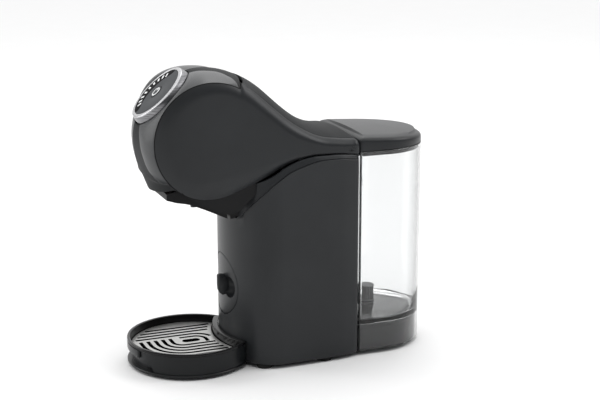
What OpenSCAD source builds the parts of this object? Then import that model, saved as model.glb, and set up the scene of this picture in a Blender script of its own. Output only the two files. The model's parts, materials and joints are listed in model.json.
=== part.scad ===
/* [Overall] */
// Half width of the column at its widest
col_half = 56.5; // [54:0.5:58]
// Front of the column on the centre line
col_front = -53.5; // [-54:0.5:-53]
// Rear face of the column
col_rear = 62; // [62:0.5:62.5]
// Wall of the plastic shells
wall = 2.5; // [2:0.1:2.5]
// Underside of the column above the table
col_bottom = 4; // [3.8:0.1:4]

/* [Head] */
// Radius of the round side discs
disc_r = 52; // [51.5:0.1:52]
// Height of the disc axis above the table
head_z = 214; // [213:0.5:215]
// Distance of the disc axis in front of the middle
head_y = -76; // [-77:0.5:-75]
// Half width of the head over the discs
head_half = 52; // [51.5:0.1:52.3]
// Radius of the crown of the lock handle
crown_r = 65; // [64.5:0.1:65]
// Opening angle of the lock handle
handle_open = 46; // [30:1:46]

/* [Dial] */
// Radius of the dial face
face_r = 25.8; // [25:0.1:26]
// Outer radius of the brushed ring
ring_r = 29.6; // [29:0.1:30]
// Depth of the brushed ring
ring_d = 8.5; // [7:0.5:9]
// Tilt of the dial axis above the horizontal
dial_tilt = 46; // [44:1:48]
// Radius of the start button
button_r = 6; // [5:0.1:6.5]

/* [Capsule holder] */
// Slope of the slide that carries the holder
slide_tilt = 10; // [9:0.5:11]
// Radius of the capsule well
well_r = 23; // [21:0.5:23]
// Half width of the holder
holder_half = 29.5; // [28:0.5:30]

/* [Drip tray] */
// Radius of the round tray
tray_r = 57.5; // [57:0.1:57.5]
// Middle of the tray in front of the middle of the machine
tray_y = -86; // [-86.5:0.5:-86]
// Height of the tray's rim above the table
tray_top = 25; // [24:0.5:26]

/* [Tank] */
// Half width of the tank
tank_half = 51; // [50.5:0.1:51]
// Front face of the tank
tank_front = 63.2; // [63:0.1:63.5]
// Rearmost point of the tank
tank_rear = 143.5; // [143:0.1:143.5]
// Wall of the clear tank
tank_wall = 2; // [1.6:0.1:2.2]
// Top edge of the tank
tank_top = 195; // [192:0.5:196]
// Top of the platform that carries the tank
platform_top = 30; // [29:0.5:30]

/* [Hidden] */
$fn = 96;
eps = 0.01;

// Colours
charcoal = [0.20, 0.21, 0.22];
black = [0.06, 0.06, 0.065];
steel = [0.72, 0.73, 0.74];
clear = [0.85, 0.9, 0.92, 0.35];

// Column outline: a flat nose arc and two side arcs, then nearly straight sides
nose_r = 73.4;
side_r = 33;
nose_cy = col_front + nose_r;
side_cx = col_half - side_r;
side_cy = nose_cy - sqrt(pow(nose_r - side_r, 2) - pow(side_cx, 2));
nose_dir = [side_cx, side_cy - nose_cy] / (nose_r - side_r);

// Tilted frames
dial_y = -111.8;
dial_z = 253.2;
crown_y = -69.7;
crown_z = 208;
lip_angle = 226;
visor_rear = -51.5;
hood_front = -48.7;
holder_y = -76;
holder_z = 173.1;
tank_cy = tank_rear - tank_half;
seat_y = 93;
tool_z = 70.5;
grid_z = tray_top - 9;
slot_w = 2.8;
tool_r = 28.6;
brew_y = -91;
// The pump's lower end seen from the flow meter
pump_gap = norm([-22, 8]);
pump_turn = atan2(8, -22);

// Crown of the tail on the centre line, along y
crown_line = [[-60, 273], [-48.7, 271.4], [-42, 268.4], [-35, 264.6], [-28, 260], [-20, 253.8],
              [-10, 245], [0, 235.7], [10, 227.4], [20, 220.9], [30, 216.5], [40, 213.6], [50, 212],
              [62.5, 211]];
// Height where the tail's side wall starts to round over, along y
shoulder_line = [[-60, 265], [-48.7, 258], [-42, 251.5], [-36, 245], [-28, 236], [-20, 226.5], [-10, 217], [0, 211],
                 [10, 206.5], [25, 203], [40, 202], [62.5, 200.5]];
// Lower edge of the tail, along y
seam_line = [[-54, 167], [-45, 170.6], [-37, 173.7], [-29, 177.3], [-21, 181.3], [-13, 186],
             [-4.5, 190], [4, 193], [12, 194.7], [20, 195.6], [36, 195.6], [62.5, 193.7]];
tail_stations = [-48.7, -45, -41, -37, -33, -28, -23, -18, -12, -6, 0, 6, 12, 18, 24, 31, 38, 46, 54, 62.5];
tail_n = 12;

// ---------- shared shapes ----------

// A profile in the YZ plane, drawn out along X between x0 and x1
module side_profile(x0, x1) {
    translate([x0, 0, 0]) rotate([90, 0, 90]) linear_extrude(x1 - x0) children();
}

// Column outline, moved inwards by t; open_rear carries it straight out at the back
module column_plan(t = 0) {
    intersection() {
        translate([0, nose_cy]) circle(nose_r - t);
        polygon([[0, nose_cy], [0, nose_cy] + 110 * nose_dir, [0, -150],
                 [0, nose_cy] + 110 * [-nose_dir[0], nose_dir[1]]]);
    }
    for (s = [-1, 1]) translate([s * side_cx, side_cy]) circle(side_r - t);
    polygon([[-col_half + t, side_cy], [col_half - t, side_cy], [56.2 - t, 17], [55.2 - t, 44],
             [53.9 - t, 53], [52.4 - t, col_rear], [-52.4 + t, col_rear], [-53.9 + t, 53],
             [-55.2 + t, 44], [-56.2 + t, 17]]);
}

// Outline of the tank: flat front, round back; t moves it inwards, f moves the front face
module tank_plan(t = 0, f = 0) {
    intersection() {
        union() {
            translate([0, tank_cy]) circle(tank_half - t);
            translate([-tank_half + t, tank_front + f]) square([2 * (tank_half - t), tank_cy - tank_front - f]);
        }
        translate([-60, tank_front + f]) square([120, 100]);
    }
}

module at_dial() {
    translate([0, dial_y, dial_z]) rotate([90 - dial_tilt, 0, 0]) children();
}

module at_holder() {
    translate([0, holder_y, holder_z]) rotate([slide_tilt, 0, 0]) children();
}

module x_cyl(r, x0, x1) {
    translate([x0, 0, 0]) rotate([0, 90, 0]) cylinder(r = r, h = x1 - x0);
}

module y_cyl(r, y0, y1) {
    translate([0, y1, 0]) rotate([90, 0, 0]) cylinder(r = r, h = y1 - y0);
}

// Cross-section of half the tail at station y, moved inwards by t
function tail_ring(y, t, low) =
    let (w = head_half - t,
         zc = lookup(y, crown_line) - t,
         zs = lookup(y, shoulder_line) - t)
    concat([[0.1, y, low]],
           [for (i = [0:tail_n]) let (a = 90 * i / tail_n, c = pow(sin(a), 0.8), s = pow(cos(a), 0.62))
               [max(0.1, w * c), y, zs + (zc - zs) * s]],
           [[w, y, low]]);

module tail_half(t, y0, y1, drop) {
    ys = concat([y0], [for (y = tail_stations) if (y > y0 + 0.5 && y < y1 - 0.5) y], [y1]);
    n = tail_n + 3;
    pts = [for (y = ys) each tail_ring(y, t, lookup(y, seam_line) - drop)];
    m = len(ys);
    polyhedron(pts, concat(
        [[for (i = [0:n - 1]) i]],
        [for (k = [0:m - 2], i = [0:n - 1]) let (j = (i + 1) % n) [k * n + i, (k + 1) * n + i, (k + 1) * n + j]],
        [for (k = [0:m - 2], i = [0:n - 1]) let (j = (i + 1) % n) [k * n + i, (k + 1) * n + j, k * n + j]],
        [[for (i = [n - 1:-1:0]) (m - 1) * n + i]]));
}

// ---------- base ----------

foot_spots = [[44, -28], [-44, -28], [46, 30], [-46, 30], [30, 112], [-30, 112]];

module base_plate() {
    color(charcoal) difference() {
        union() {
            translate([0, 0, 3.5]) linear_extrude(3) column_plan(wall + 0.1);
            translate([0, 0, 3.5]) linear_extrude(3) intersection() {
                tank_plan(2.7 + 2.3, -4);
                translate([-60, 55]) square([120, 100]);
            }
        }
        for (p = foot_spots) translate([p[0], p[1], 3]) cylinder(r = 1.7, h = 5);
        for (x = [-24:8:24], y = [-20, -8]) translate([x - 1.2, y, 3]) cube([2.4, 9, 5]);
    }
}

module base_feet() {
    color(black) for (p = foot_spots) translate([p[0], p[1], 0]) difference() {
        cylinder(r = 7, h = 3.5);
        translate([0, 0, 1]) cylinder(r = 3.2, h = 3);
        translate([0, 0, -1]) cylinder(r = 1.7, h = 3);
    }
}

module base_screws() {
    color(steel) for (p = foot_spots) translate([p[0], p[1], 0]) {
        translate([0, 0, 1.1]) cylinder(r = 3, h = 2.3);
        translate([0, 0, 3.3]) cylinder(r = 1.65, h = 6.6);
    }
}

// Side line below which the column runs straight; the shoulder leans in above it
module below_line(line, drop) {
    polygon(concat([[-70, -10], [80, -10], [80, line[len(line) - 1][1] - drop]],
                   [for (i = [len(line) - 1:-1:0]) [line[i][0], line[i][1] - drop]],
                   [[-70, line[0][1] - drop]]));
}

groove_line = [[-47.6, 136.7], [-45.6, 141.5], [-41.6, 149.3], [-36, 157.5], [-29.4, 165.1], [-22.4, 172.1],
               [-14.8, 177.7], [-6.7, 182.8], [1.6, 186], [9.8, 188.4], [18, 190.6], [26.6, 191.7],
               [43, 191.6], [52.5, 190.3], [62, 189.1]];

// Top of the leaning shoulder, just under the tail's lower edge
shoulder_top = concat([[-54, 137]], [for (p = seam_line) if (p[0] > -44) p]);

module body_shell() {
    color(charcoal) difference() {
        union() {
            intersection() {
                translate([0, 0, col_bottom]) linear_extrude(200) column_plan(0);
                side_profile(-60, 60) below_line(groove_line, 0);
            }
            intersection() {
                translate([0, 0, col_bottom]) linear_extrude(200) column_plan(1.2);
                side_profile(-60, 60) below_line(shoulder_top, 0.3);
            }
            // Cup behind the round recess for the rinsing tool
            translate([0, 0, tool_z]) intersection() {
                y_cyl(tool_r + 2.4, -60, -36);
                translate([0, 0, -40]) linear_extrude(80) column_plan(1);
            }
        }
        difference() {
            translate([0, 0, -1]) linear_extrude(220) union() {
                column_plan(wall);
                translate([-52.4 + wall, 40]) square([104.8 - 2 * wall, 40]);
            }
            translate([0, 0, tool_z]) y_cyl(tool_r + 2.4, -60, -38);
        }
        translate([0, 0, tool_z]) y_cyl(tool_r + 0.4, -60, -40.5);
        // Deeper finger hollow beside the grip fin
        translate([11, 0, tool_z + 1]) rotate([0, 0, 0]) y_cyl(3, -45, -42);
        // Hole for the cord gland
        translate([-60, 48, 16]) rotate([0, 90, 0]) cylinder(r = 5.2, h = 12);
    }
}

module rear_wall() {
    color(charcoal) difference() {
        translate([-49.7, 59.4, 6.6]) cube([99.4, 2.6, 186.4]);
        // Vents behind the tank
        for (x = [-30:7.5:30]) translate([x - 1.5, 58, 120]) cube([3, 6, 40]);
        // Notch over the hose to the seat
        translate([-9, 58, 0]) cube([18, 6, 24]);
        for (s = [-1, 1]) translate([s * 43, 50, 183]) rotate([-90, 0, 0]) cylinder(r = 1.6, h = 20);
    }
}

module tank_platform() {
    color(charcoal) difference() {
        translate([0, 0, col_bottom]) linear_extrude(platform_top - col_bottom) intersection() {
            tank_plan(2.7, -1);
            translate([-60, col_rear + 0.1]) square([120, 100]);
        }
        translate([0, 0, 0]) linear_extrude(platform_top - 2.4) intersection() {
            tank_plan(2.7 + 2.2, -1);
            translate([-60, col_rear + 0.1 - 5]) square([120, 100]);
        }
        // Bevel round the top edge
        difference() {
            translate([0, 0, platform_top - 3]) linear_extrude(4) tank_plan(0, -3);
            translate([0, 0, platform_top - 4]) linear_extrude(6) tank_plan(4.2, -3);
            translate([0, tank_cy, platform_top - 3]) cylinder(r1 = tank_half - 2.7, r2 = tank_half - 5.7, h = 3);
            for (s = [-1, 1]) translate([0, 0, 0]) rotate([90, 0, 0])
                translate([0, 0, -tank_cy]) linear_extrude(tank_cy - 50) polygon([
                    [s * 20, platform_top - 3], [s * (tank_half - 2.7), platform_top - 3],
                    [s * (tank_half - 5.7), platform_top], [s * 20, platform_top]]);
        }
        translate([0, seat_y, platform_top - 5]) cylinder(r = 9.1, h = 8);
        // Slot for the latch
        translate([-6.3, 134, 2]) cube([12.6, 12, 22]);
    }
}

module tank_latch() {
    color(black) difference() {
        union() {
            translate([-6, 134.5, 6.6]) cube([12, 5.6, 17]);
            translate([-6, 136, 21]) cube([12, 4.9, 2.6]);
            translate([-5, 128, 7]) cube([10, 8, 3]);
        }
        translate([-3.5, 138.6, 9]) cube([7, 4, 9]);
    }
}

module inlet_seat() {
    color([0.35, 0.36, 0.37]) translate([0, seat_y, 0]) difference() {
        union() {
            translate([0, 0, platform_top - 6]) cylinder(r = 9, h = 6.2);
            translate([0, 0, platform_top - 12]) cylinder(r = 4.5, h = 7);
            translate([0, 0, platform_top - 6]) rotate([0, 90, 0]) translate([3, 0, -5]) cylinder(r = 0.9, h = 1);
        }
        translate([0, 0, platform_top - 4]) cylinder(r = 7.2, h = 6);
        translate([0, 0, platform_top - 14]) cylinder(r = 2, h = 16);
    }
}

module seat_seal() {
    color(black) translate([0, seat_y, platform_top - 4]) difference() {
        cylinder(r = 7.1, h = 2.6);
        translate([0, 0, -1]) cylinder(r = 5.2, h = 5);
    }
}

module cord_gland() {
    color(black) translate([0, 48, 16]) difference() {
        union() {
            x_cyl(5.1, -57.2, -50);
            x_cyl(6.5, -50.8, -49.2);
        }
        x_cyl(3, -60, -40);
    }
}

// ---------- head ----------

// Side wall disc with its rounded rim, for the +X side
module disc_wall() {
    translate([0, head_y, head_z]) rotate([0, 90, 0]) rotate_extrude()
        polygon(concat([[0, head_half - wall], [disc_r, head_half - wall]],
                       [for (a = [0:15:90]) [disc_r - 5 + 5 * cos(a), head_half - 2 + 2 * sin(a)]],
                       [[0, head_half]]));
}

module head_half_shell() {
    difference() {
        union() {
            disc_wall();
            difference() {
                tail_half(0, hood_front, 62.5, 0);
                tail_half(2, hood_front - 4, 60.3, 30);
            }
            // Boss for the pivot pin
            translate([0, head_y, head_z]) x_cyl(8, 47.6, 50);
            // Screw bosses down to the shoulder
            for (y = [-10, 40]) translate([46, y, 0]) intersection() {
                translate([0, 0, lookup(y, seam_line)]) cylinder(r = 4.6, h = 11);
                translate([-20, -20, 0]) cube([25, 40, 250]);
            }
        }
        translate([0, head_y, head_z]) x_cyl(4, 40, 50.2);
        for (y = [-10, 40]) translate([46, y, 150]) cylinder(r = 1.4, h = lookup(y, seam_line) - 142);
    }
}

module head_shell_right() {
    color(charcoal) head_half_shell();
}

module head_shell_left() {
    color(charcoal) mirror([1, 0, 0]) head_half_shell();
}

module head_screws() {
    color(steel) for (s = [-1, 1], y = [-10, 40]) translate([s * 46, y, lookup(y, seam_line)]) {
        translate([0, 0, -9]) cylinder(r = 1.35, h = 14);
        translate([0, 0, -11]) cylinder(r = 3, h = 2.2);
    }
}

// Underside of the head, from the front of the holder back to the column
wedge_line = [[-113, 161], [-104, 158], [-96, 156.4], [-90.3, 154.8], [-77.2, 149], [-66.8, 144],
              [-58.3, 140], [-55.5, 139]];

module holder_zone(top, rear) {
    polygon(concat(wedge_line, [[rear, 138.3], [rear, top], [-113, top]]));
}

module brew_housing() {
    color(black) difference() {
        union() {
            // Cheeks on both sides of the holder
            for (s = [-1, 1]) intersection() {
                side_profile(min(s * 30.2, s * 46), max(s * 30.2, s * 46)) polygon([
                    [-104, 170.5], [-96, 164.5], [-86.6, 158.8], [-77.2, 153.8], [-69.3, 149.6], [-60, 147],
                    [-50, 150], [-42, 158], [-30, 168], [-30, 183], [-60, 184], [-103, 177]]);
            }
            // Roof over the holder
            at_holder() translate([-46, -28, 8]) cube([92, 75, 2.6]);
            // Block between the holder and the column
            side_profile(-30.3, 30.3) polygon([[-54.6, 139.2], [-51, 139.2], [-50.4, 141], [-45, 141],
                                               [-45, 184.5], [-60.2, 182], [-60.2, 176], [-56, 150]]);
        }
        // Channel for the holder
        at_holder() translate([-holder_half - 0.6, -60, -60]) cube([2 * holder_half + 1.2, 73.6, 60.6]);
        // Hole of the injector
        at_holder() translate([0, -12, 7]) cylinder(r = 9.2, h = 6);
        // Room for the column's upper edge
        intersection() {
            linear_extrude(200) column_plan(-0.1);
            side_profile(-60, 60) below_line(groove_line, -0.1);
        }
        intersection() {
            linear_extrude(200) column_plan(1.1);
            side_profile(-60, 60) below_line(shoulder_top, 0.2);
        }
    }
}

module injector() {
    color([0.78, 0.78, 0.76]) difference() {
        union() {
            at_holder() translate([0, -12, 3]) cylinder(r = 23, h = 4.9);
            at_holder() translate([0, -12, 7.8]) cylinder(r = 9, h = 6);
            translate([0, brew_y, 182]) cylinder(r = 3, h = 11);
            at_holder() translate([0, -12, 1.4]) cylinder(r1 = 0.6, r2 = 1.6, h = 1.7);
        }
        at_holder() translate([0, -12, 1]) cylinder(r = 0.5, h = 13);
        translate([0, brew_y, 183]) cylinder(r = 1.6, h = 20);
    }
}

module injector_seal() {
    color([0.55, 0.2, 0.15]) at_holder() translate([0, -12, 1]) difference() {
        cylinder(r = 19, h = 2);
        translate([0, 0, -1]) cylinder(r = 15.5, h = 5);
    }
}

module pivot_pins() {
    color(steel) for (s = [-1, 1]) translate([0, head_y, head_z]) {
        x_cyl(3.96, min(s * 43.2, s * 50.1), max(s * 43.2, s * 50.1));
        x_cyl(6.5, min(s * 41.6, s * 43.3), max(s * 41.6, s * 43.3));
    }
}

// ---------- inside the column ----------

module inner_frame() {
    color([0.45, 0.46, 0.47]) difference() {
        union() {
            translate([-44, 30, 6.5]) cube([88, 2.5, 150]);
            translate([-44, 30, 6.5]) cube([88, 14, 2]);
            for (s = [-1, 1]) translate([s * 42.75 - 1.25, 30, 6.5]) cube([2.5, 20, 150]);
            // Ledges of the pump and the heater
            translate([-40, 4, 34]) cube([36, 27, 2.5]);
            translate([-40, 4, 118]) cube([36, 27, 2.5]);
        }
        translate([-22, 12, 30]) cylinder(r = 9.5, h = 100);
        for (x = [-34, 34], z = [60, 100, 140]) translate([x, 20, z]) rotate([-90, 0, 0]) cylinder(r = 1.6, h = 20);
        translate([8, 20, 30]) cube([26, 20, 20]);
        // Way for the supply hose
        translate([-5, 20, 6]) cube([10, 40, 10]);
    }
}

module water_pump() {
    color([0.6, 0.6, 0.58]) translate([-22, 12, 0]) {
        translate([0, 0, 44]) cylinder(r = 16, h = 66);
        translate([0, 0, 28]) cylinder(r = 7, h = 17);
        translate([0, 0, 109]) cylinder(r = 7, h = 22);
        translate([0, 0, 24]) cylinder(r = 3, h = 5);
        translate([0, 0, 130]) cylinder(r = 3, h = 8);
        difference() {
            translate([-18, -14, 52]) cube([36, 28, 50]);
            translate([0, 0, 50]) cylinder(r = 15.5, h = 60);
        }
    }
}

module pump_mounts() {
    color(black) for (z = [30.5, 114.5]) translate([-22, 12, z]) difference() {
        union() {
            translate([0, 0, 3.2]) cylinder(r = 9.4, h = 3.2);
            cylinder(r = 13, h = 3.4);
            translate([0, 0, 6.1]) cylinder(r = 13, h = 3.2);
        }
        translate([0, 0, -1]) cylinder(r = 7, h = 14);
    }
}

module heater_block() {
    color([0.7, 0.7, 0.71]) difference() {
        union() {
            translate([2, -4, 60]) cube([40, 30, 72]);
            for (x = [10, 34]) translate([x, 12, 130]) cylinder(r = 3, h = 14);
            for (x = [8, 22, 36]) translate([x, 24, 70]) rotate([-90, 0, 0]) cylinder(r = 3, h = 6);
        }
        for (z = [66:9:126]) translate([0, -6, z]) cube([44, 5, 4]);
        for (x = [10, 34]) translate([x, 12, 100]) cylinder(r = 1.6, h = 60);
    }
}

module flow_meter() {
    color([0.85, 0.85, 0.82]) translate([0, 4, 0]) difference() {
        union() {
            translate([0, 0, 8]) cylinder(r = 13, h = 12);
            translate([0, 0, 12]) y_cyl(3, 11, 20);
            rotate([0, 0, pump_turn]) translate([0, 0, 14]) x_cyl(2.5, 10, 16);
            for (a = [60:120:300]) rotate([0, 0, a]) translate([11, 0, 6.5]) cylinder(r = 2.5, h = 3);
        }
        translate([0, 0, 12]) y_cyl(1.8, 14, 30);
    }
}

module main_board() {
    color([0.1, 0.35, 0.2]) union() {
        translate([-40, 51, 44]) cube([80, 1.6, 100]);
        for (x = [-34, 34], z = [50, 138]) translate([x, 52.5, z]) rotate([-90, 0, 0]) cylinder(r = 3, h = 6.9);
        translate([-30, 40, 60]) cube([22, 11.2, 18]);
        translate([4, 36, 60]) rotate([-90, 0, 0]) cylinder(r = 8, h = 15.2);
        translate([16, 44, 56]) cube([18, 7.2, 26]);
        translate([-20, 48.6, 100]) cube([12, 2.6, 12]);
        translate([0, 47, 92]) cube([26, 4.2, 9]);
        translate([-36, 46, 126]) cube([40, 5.2, 6]);
    }
}

// A quarter bend of a tube in the YZ plane: from along +Z into +Y
module bend(rb, r, a0, a1) {
    rotate([90, 0, 90]) rotate([0, 0, a0]) rotate_extrude(angle = a1 - a0) translate([rb, 0]) circle(r, $fn = 32);
}

module supply_hose() {
    color(black) union() {
        // From the seat down, forward under the platform and into the flow meter
        translate([0, seat_y - 6, 18]) bend(6, 2.5, -90, 0);
        translate([0, 0, 12]) y_cyl(2.5, 24, seat_y - 6);
    }
}

module inlet_hose() {
    color([0.8, 0.8, 0.78]) translate([0, 4, 0]) rotate([0, 0, pump_turn]) union() {
        translate([0, 0, 14]) x_cyl(2.5, 16, pump_gap - 6);
        translate([pump_gap - 6, 0, 20]) rotate([0, 0, -90]) bend(6, 2.5, -90, 0);
        translate([pump_gap, 0, 20]) cylinder(r = 2.5, h = 4);
    }
}

module pump_hose() {
    color([0.8, 0.8, 0.78]) union() {
        translate([-22, 12, 138]) cylinder(r = 2.5, h = 6);
        translate([-17, 12, 144]) rotate([0, 0, -90]) bend(5, 2.5, 90, 180);
        translate([0, 12, 149]) x_cyl(2.5, -17, 5);
        translate([5, 12, 144]) rotate([0, 0, -90]) bend(5, 2.5, 0, 90);
    }
}

module brew_hose() {
    // Up from the heater, forward through the head and down into the injector
    color([0.85, 0.85, 0.85]) union() {
        translate([34, 12, 144]) cylinder(r = 2.5, h = 53);
        translate([34, 7, 197]) bend(5, 2.5, 0, 90);
        translate([34, 0, 202]) y_cyl(2.5, brew_y + 5, 7);
        translate([29, brew_y + 5, 202]) rotate([0, 0, -90]) rotate_extrude(angle = 90) translate([5, 0]) circle(2.5, $fn = 32);
        translate([0, brew_y, 202]) x_cyl(2.5, 5, 29);
        translate([5, brew_y, 197]) rotate([0, 0, -90]) bend(5, 2.5, 90, 180);
        translate([0, brew_y, 193]) cylinder(r = 2.5, h = 4);
    }
}

// ---------- lock handle ----------

// Band with a flat crown and bevelled sides
module visor_band(rc, hc, rd, hd) {
    hull() {
        translate([0, crown_y, crown_z]) x_cyl(rc, -hc, hc, $fn = 128);
        translate([0, head_y, head_z]) x_cyl(rd, -hd, hd, $fn = 128);
    }
}

module visor_span() {
    // From the lip forward, over the top, to the rear edge
    a = lip_angle;
    d = [cos(a), sin(a)];
    c = [head_y, head_z];
    polygon([c, c + 110 * d, [-190, 150], [-190, 300], [visor_rear, 300], [visor_rear, 250]]);
}

module handle_visor() {
    color(charcoal) difference() {
        intersection() {
            difference() {
                visor_band(crown_r, 17, disc_r + 0.5, 49);
                visor_band(crown_r - 2.4, 15.5, disc_r - 1.9, 60);
            }
            side_profile(-60, 60) visor_span();
        }
        translate([0, head_y, head_z]) x_cyl(disc_r + 0.4, 49.0 - 0.01, 70);
        translate([0, head_y, head_z]) x_cyl(disc_r + 0.4, -70, -49.0 + 0.01);
        at_dial() translate([0, 0, -40]) cylinder(r = 32.3, h = 80);
    }
}

module handle_brackets() {
    color([0.3, 0.3, 0.31]) for (s = [-1, 1]) difference() {
        union() {
            translate([0, head_y, head_z]) x_cyl(10, min(s * 43.6, s * 47.2), max(s * 43.6, s * 47.2));
            side_profile(min(s * 44.4, s * 47.2), max(s * 44.4, s * 47.2))
                intersection() {
                    translate([head_y, head_z]) circle(disc_r - 2.0);
                    polygon([[head_y, head_z + 9], [head_y - 40, head_z + 38], [head_y - 70, head_z + 30],
                             [head_y - 70, head_z - 12], [head_y, head_z - 9]]);
                }
        }
        translate([0, head_y, head_z]) x_cyl(4.01, min(s * 40, s * 50), max(s * 40, s * 50));
    }
}

module dial_housing() {
    color(black) at_dial() difference() {
        union() {
            translate([0, 0, -20]) cylinder(r = 26.1, h = 19.4);
            translate([0, 0, -ring_d - 3]) cylinder(r = 32.2, h = 2.2);
        }
        translate([0, 0, -18]) cylinder(r = 23.6, h = 30);
        translate([0, 0, -3.2]) cylinder(r = 25.9, h = 10);
        translate([0, 0, -30]) cylinder(r = 3, h = 30);
    }
}

module dial_face() {
    color([0.33, 0.34, 0.35]) at_dial() difference() {
        translate([0, 0, -3.1]) cylinder(r = face_r, h = 3.1);
        translate([0, 0, -5]) cylinder(r = button_r + 0.35, h = 8);
        // Pockets of the light bars along the far rim
        for (i = [0:8]) rotate([0, 0, 180 - 62 + 15.5 * i]) translate([21.2, 0, -0.6]) cube([3.4, 2.6, 2], center = true);
    }
}

module light_bars() {
    color("white") at_dial() for (i = [0:8]) rotate([0, 0, 180 - 62 + 15.5 * i])
        translate([21.2, 0, -0.8]) cube([3.2, 2.4, 1.5], center = true);
}

module display_board() {
    color([0.1, 0.35, 0.2]) at_dial() difference() {
        translate([0, 0, -12]) cylinder(r = 23.2, h = 1.6);
        translate([0, 0, -14]) cylinder(r = 2, h = 8);
    }
}

// Points of a round wire wound as a coil of radius rc, wire r, pitch p, over n turns
module coil(rc, r, p, n, m = 14, k = 8) {
    steps = m * n;
    pts = [for (i = [0:steps], j = [0:k - 1]) let (a = 360 * i / m, b = 360 * j / k)
        [(rc + r * cos(b)) * cos(a), (rc + r * cos(b)) * sin(a), p * i / m + r * sin(b)]];
    polyhedron(pts, concat(
        [[for (j = [k - 1:-1:0]) j]],
        [for (i = [0:steps - 1], j = [0:k - 1]) let (q = (j + 1) % k) [i * k + j, i * k + q, (i + 1) * k + q]],
        [for (i = [0:steps - 1], j = [0:k - 1]) let (q = (j + 1) % k) [i * k + j, (i + 1) * k + q, (i + 1) * k + j]],
        [[for (j = [0:k - 1]) steps * k + j]]));
}

module button_spring() {
    color(steel) at_dial() translate([0, 0, -10]) coil(3.6, 0.35, 1.15, 3);
}

module control_ring() {
    color(steel) at_dial() rotate_extrude()
        polygon([[26.17, -ring_d + 0.1], [31.4, -ring_d + 0.1], [30.9, -5], [ring_r, -0.6], [ring_r - 0.6, 0],
                 [27, 0.2], [26.17, -0.3]]);
}

module start_button() {
    color([0.38, 0.39, 0.4]) at_dial() difference() {
        union() {
            translate([0, 0, -4.6]) cylinder(r = button_r, h = 4.9);
            translate([0, 0, -4.6]) cylinder(r = button_r + 1.6, h = 1.2);
        }
        translate([0, 0, -0.1]) difference() {
            cylinder(r = 4.9, h = 2);
            translate([0, 0, -1]) cylinder(r = 3.8, h = 4);
        }
        translate([-0.6, 1.6, -0.1]) cube([1.2, 2.6, 2]);
    }
}

module button_mark() {
    color("white") at_dial() translate([0, 0, -0.1]) {
        difference() {
            cylinder(r = 4.85, h = 0.5);
            translate([0, 0, -1]) cylinder(r = 3.85, h = 4);
            translate([-1.4, 0, -1]) cube([2.8, 8, 4]);
        }
        translate([-0.5, 1.7, 0]) cube([1, 2.4, 0.5]);
    }
}

// ---------- capsule holder ----------

module capsule_holder() {
    color(black) difference() {
        intersection() {
            at_holder() translate([-holder_half, -40, -50]) cube([2 * holder_half, 53, 50]);
            side_profile(-60, 60) holder_zone(200, -40);
        }
        at_holder() translate([0, -9, 0]) {
            translate([0, 0, -1.6]) cylinder(r = well_r + 2, h = 10);
            translate([0, 0, -6.5]) cylinder(r = well_r, h = 20);
            translate([0, 6, -13]) cylinder(r = 16, h = 20);
            translate([0, 3, -40]) cylinder(r = 5, h = 21);
            translate([0, 3, -20]) cylinder(r = 2, h = 20);
        }
        // Finger slot in the front grip
        at_holder() translate([-15, -41, -6.5]) cube([30, 2.6, 3.5]);
    }
}

module holder_spout() {
    color([0.15, 0.15, 0.16]) at_holder() translate([0, -6, 0]) difference() {
        translate([0, 0, -26]) cylinder(r = 4.95, h = 7);
        translate([0, 0, -30]) cylinder(r = 2, h = 20);
    }
}

// ---------- drip tray ----------

module tray_outline(t) {
    difference() {
        translate([0, tray_y]) circle(tray_r - t);
        intersection() {
            translate([0, nose_cy]) circle(nose_r + 0.7 + t);
            translate([-60, -75]) square([120, 200]);
        }
    }
}

module drip_tray() {
    color(charcoal) difference() {
        union() {
            difference() {
                union() {
                    translate([0, 0, 3]) linear_extrude(tray_top - 3) tray_outline(0.6);
                    translate([0, 0, tray_top - 3]) linear_extrude(3) tray_outline(0);
                    translate([0, 0, 2.2]) linear_extrude(2.3) tray_outline(0);
                }
                // Hollow of the tray, with a step that carries the grid
                translate([0, 0, 5]) linear_extrude(30) tray_hollow(4.4, 8);
                translate([0, 0, grid_z - 0.2]) linear_extrude(30) tray_hollow(3.0, 5.8);
            }
            // Wall of the finger recess at the front
            translate([0, 0, 3]) linear_extrude(grid_z - 3.2) intersection() {
                difference() {
                    translate([0, tray_y]) circle(tray_r - 3);
                    translate([0, tray_y]) circle(tray_r - 9);
                }
                translate([-34, -160]) square([68, 40]);
            }
        }
        // Finger recess under the rim, with the pull tab over its middle
        translate([0, 0, 5]) linear_extrude(8) difference() {
            intersection() {
                difference() {
                    translate([0, tray_y]) circle(tray_r + 3);
                    translate([0, tray_y]) circle(tray_r - 7);
                }
                translate([-31, -160]) square([62, 40]);
            }
        }
    }
    color(charcoal) translate([0, 0, 12.9]) linear_extrude(tray_top - 14) intersection() {
        difference() {
            translate([0, tray_y]) circle(tray_r - 0.3);
            translate([0, tray_y]) circle(tray_r - 2.6);
        }
        translate([-19.5, -160]) square([39, 40]);
    }
}

// Inside of the tray: t from the round wall, b from the column
module tray_hollow(t, b) {
    difference() {
        translate([0, tray_y]) circle(tray_r - t);
        translate([0, nose_cy]) circle(nose_r + b);
    }
}

module tray_pads() {
    color(black) for (p = [[38, -74], [-38, -74], [0, -130]]) translate([p[0], p[1], 0]) cylinder(r = 5, h = 2.2);
}

// Straight slot along y at x, from y0 to y1
module slot_y(x, y0, y1) {
    translate([x - slot_w / 2 + 0.15, y0]) square([slot_w - 0.3, y1 - y0]);
}

// Straight slot along x at y, from x0 to x1, a little narrower than the curved ones it runs into
module slot_x(y, x0, x1) {
    translate([x0, y - slot_w / 2 + 0.15]) square([x1 - x0, slot_w - 0.3]);
}

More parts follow.
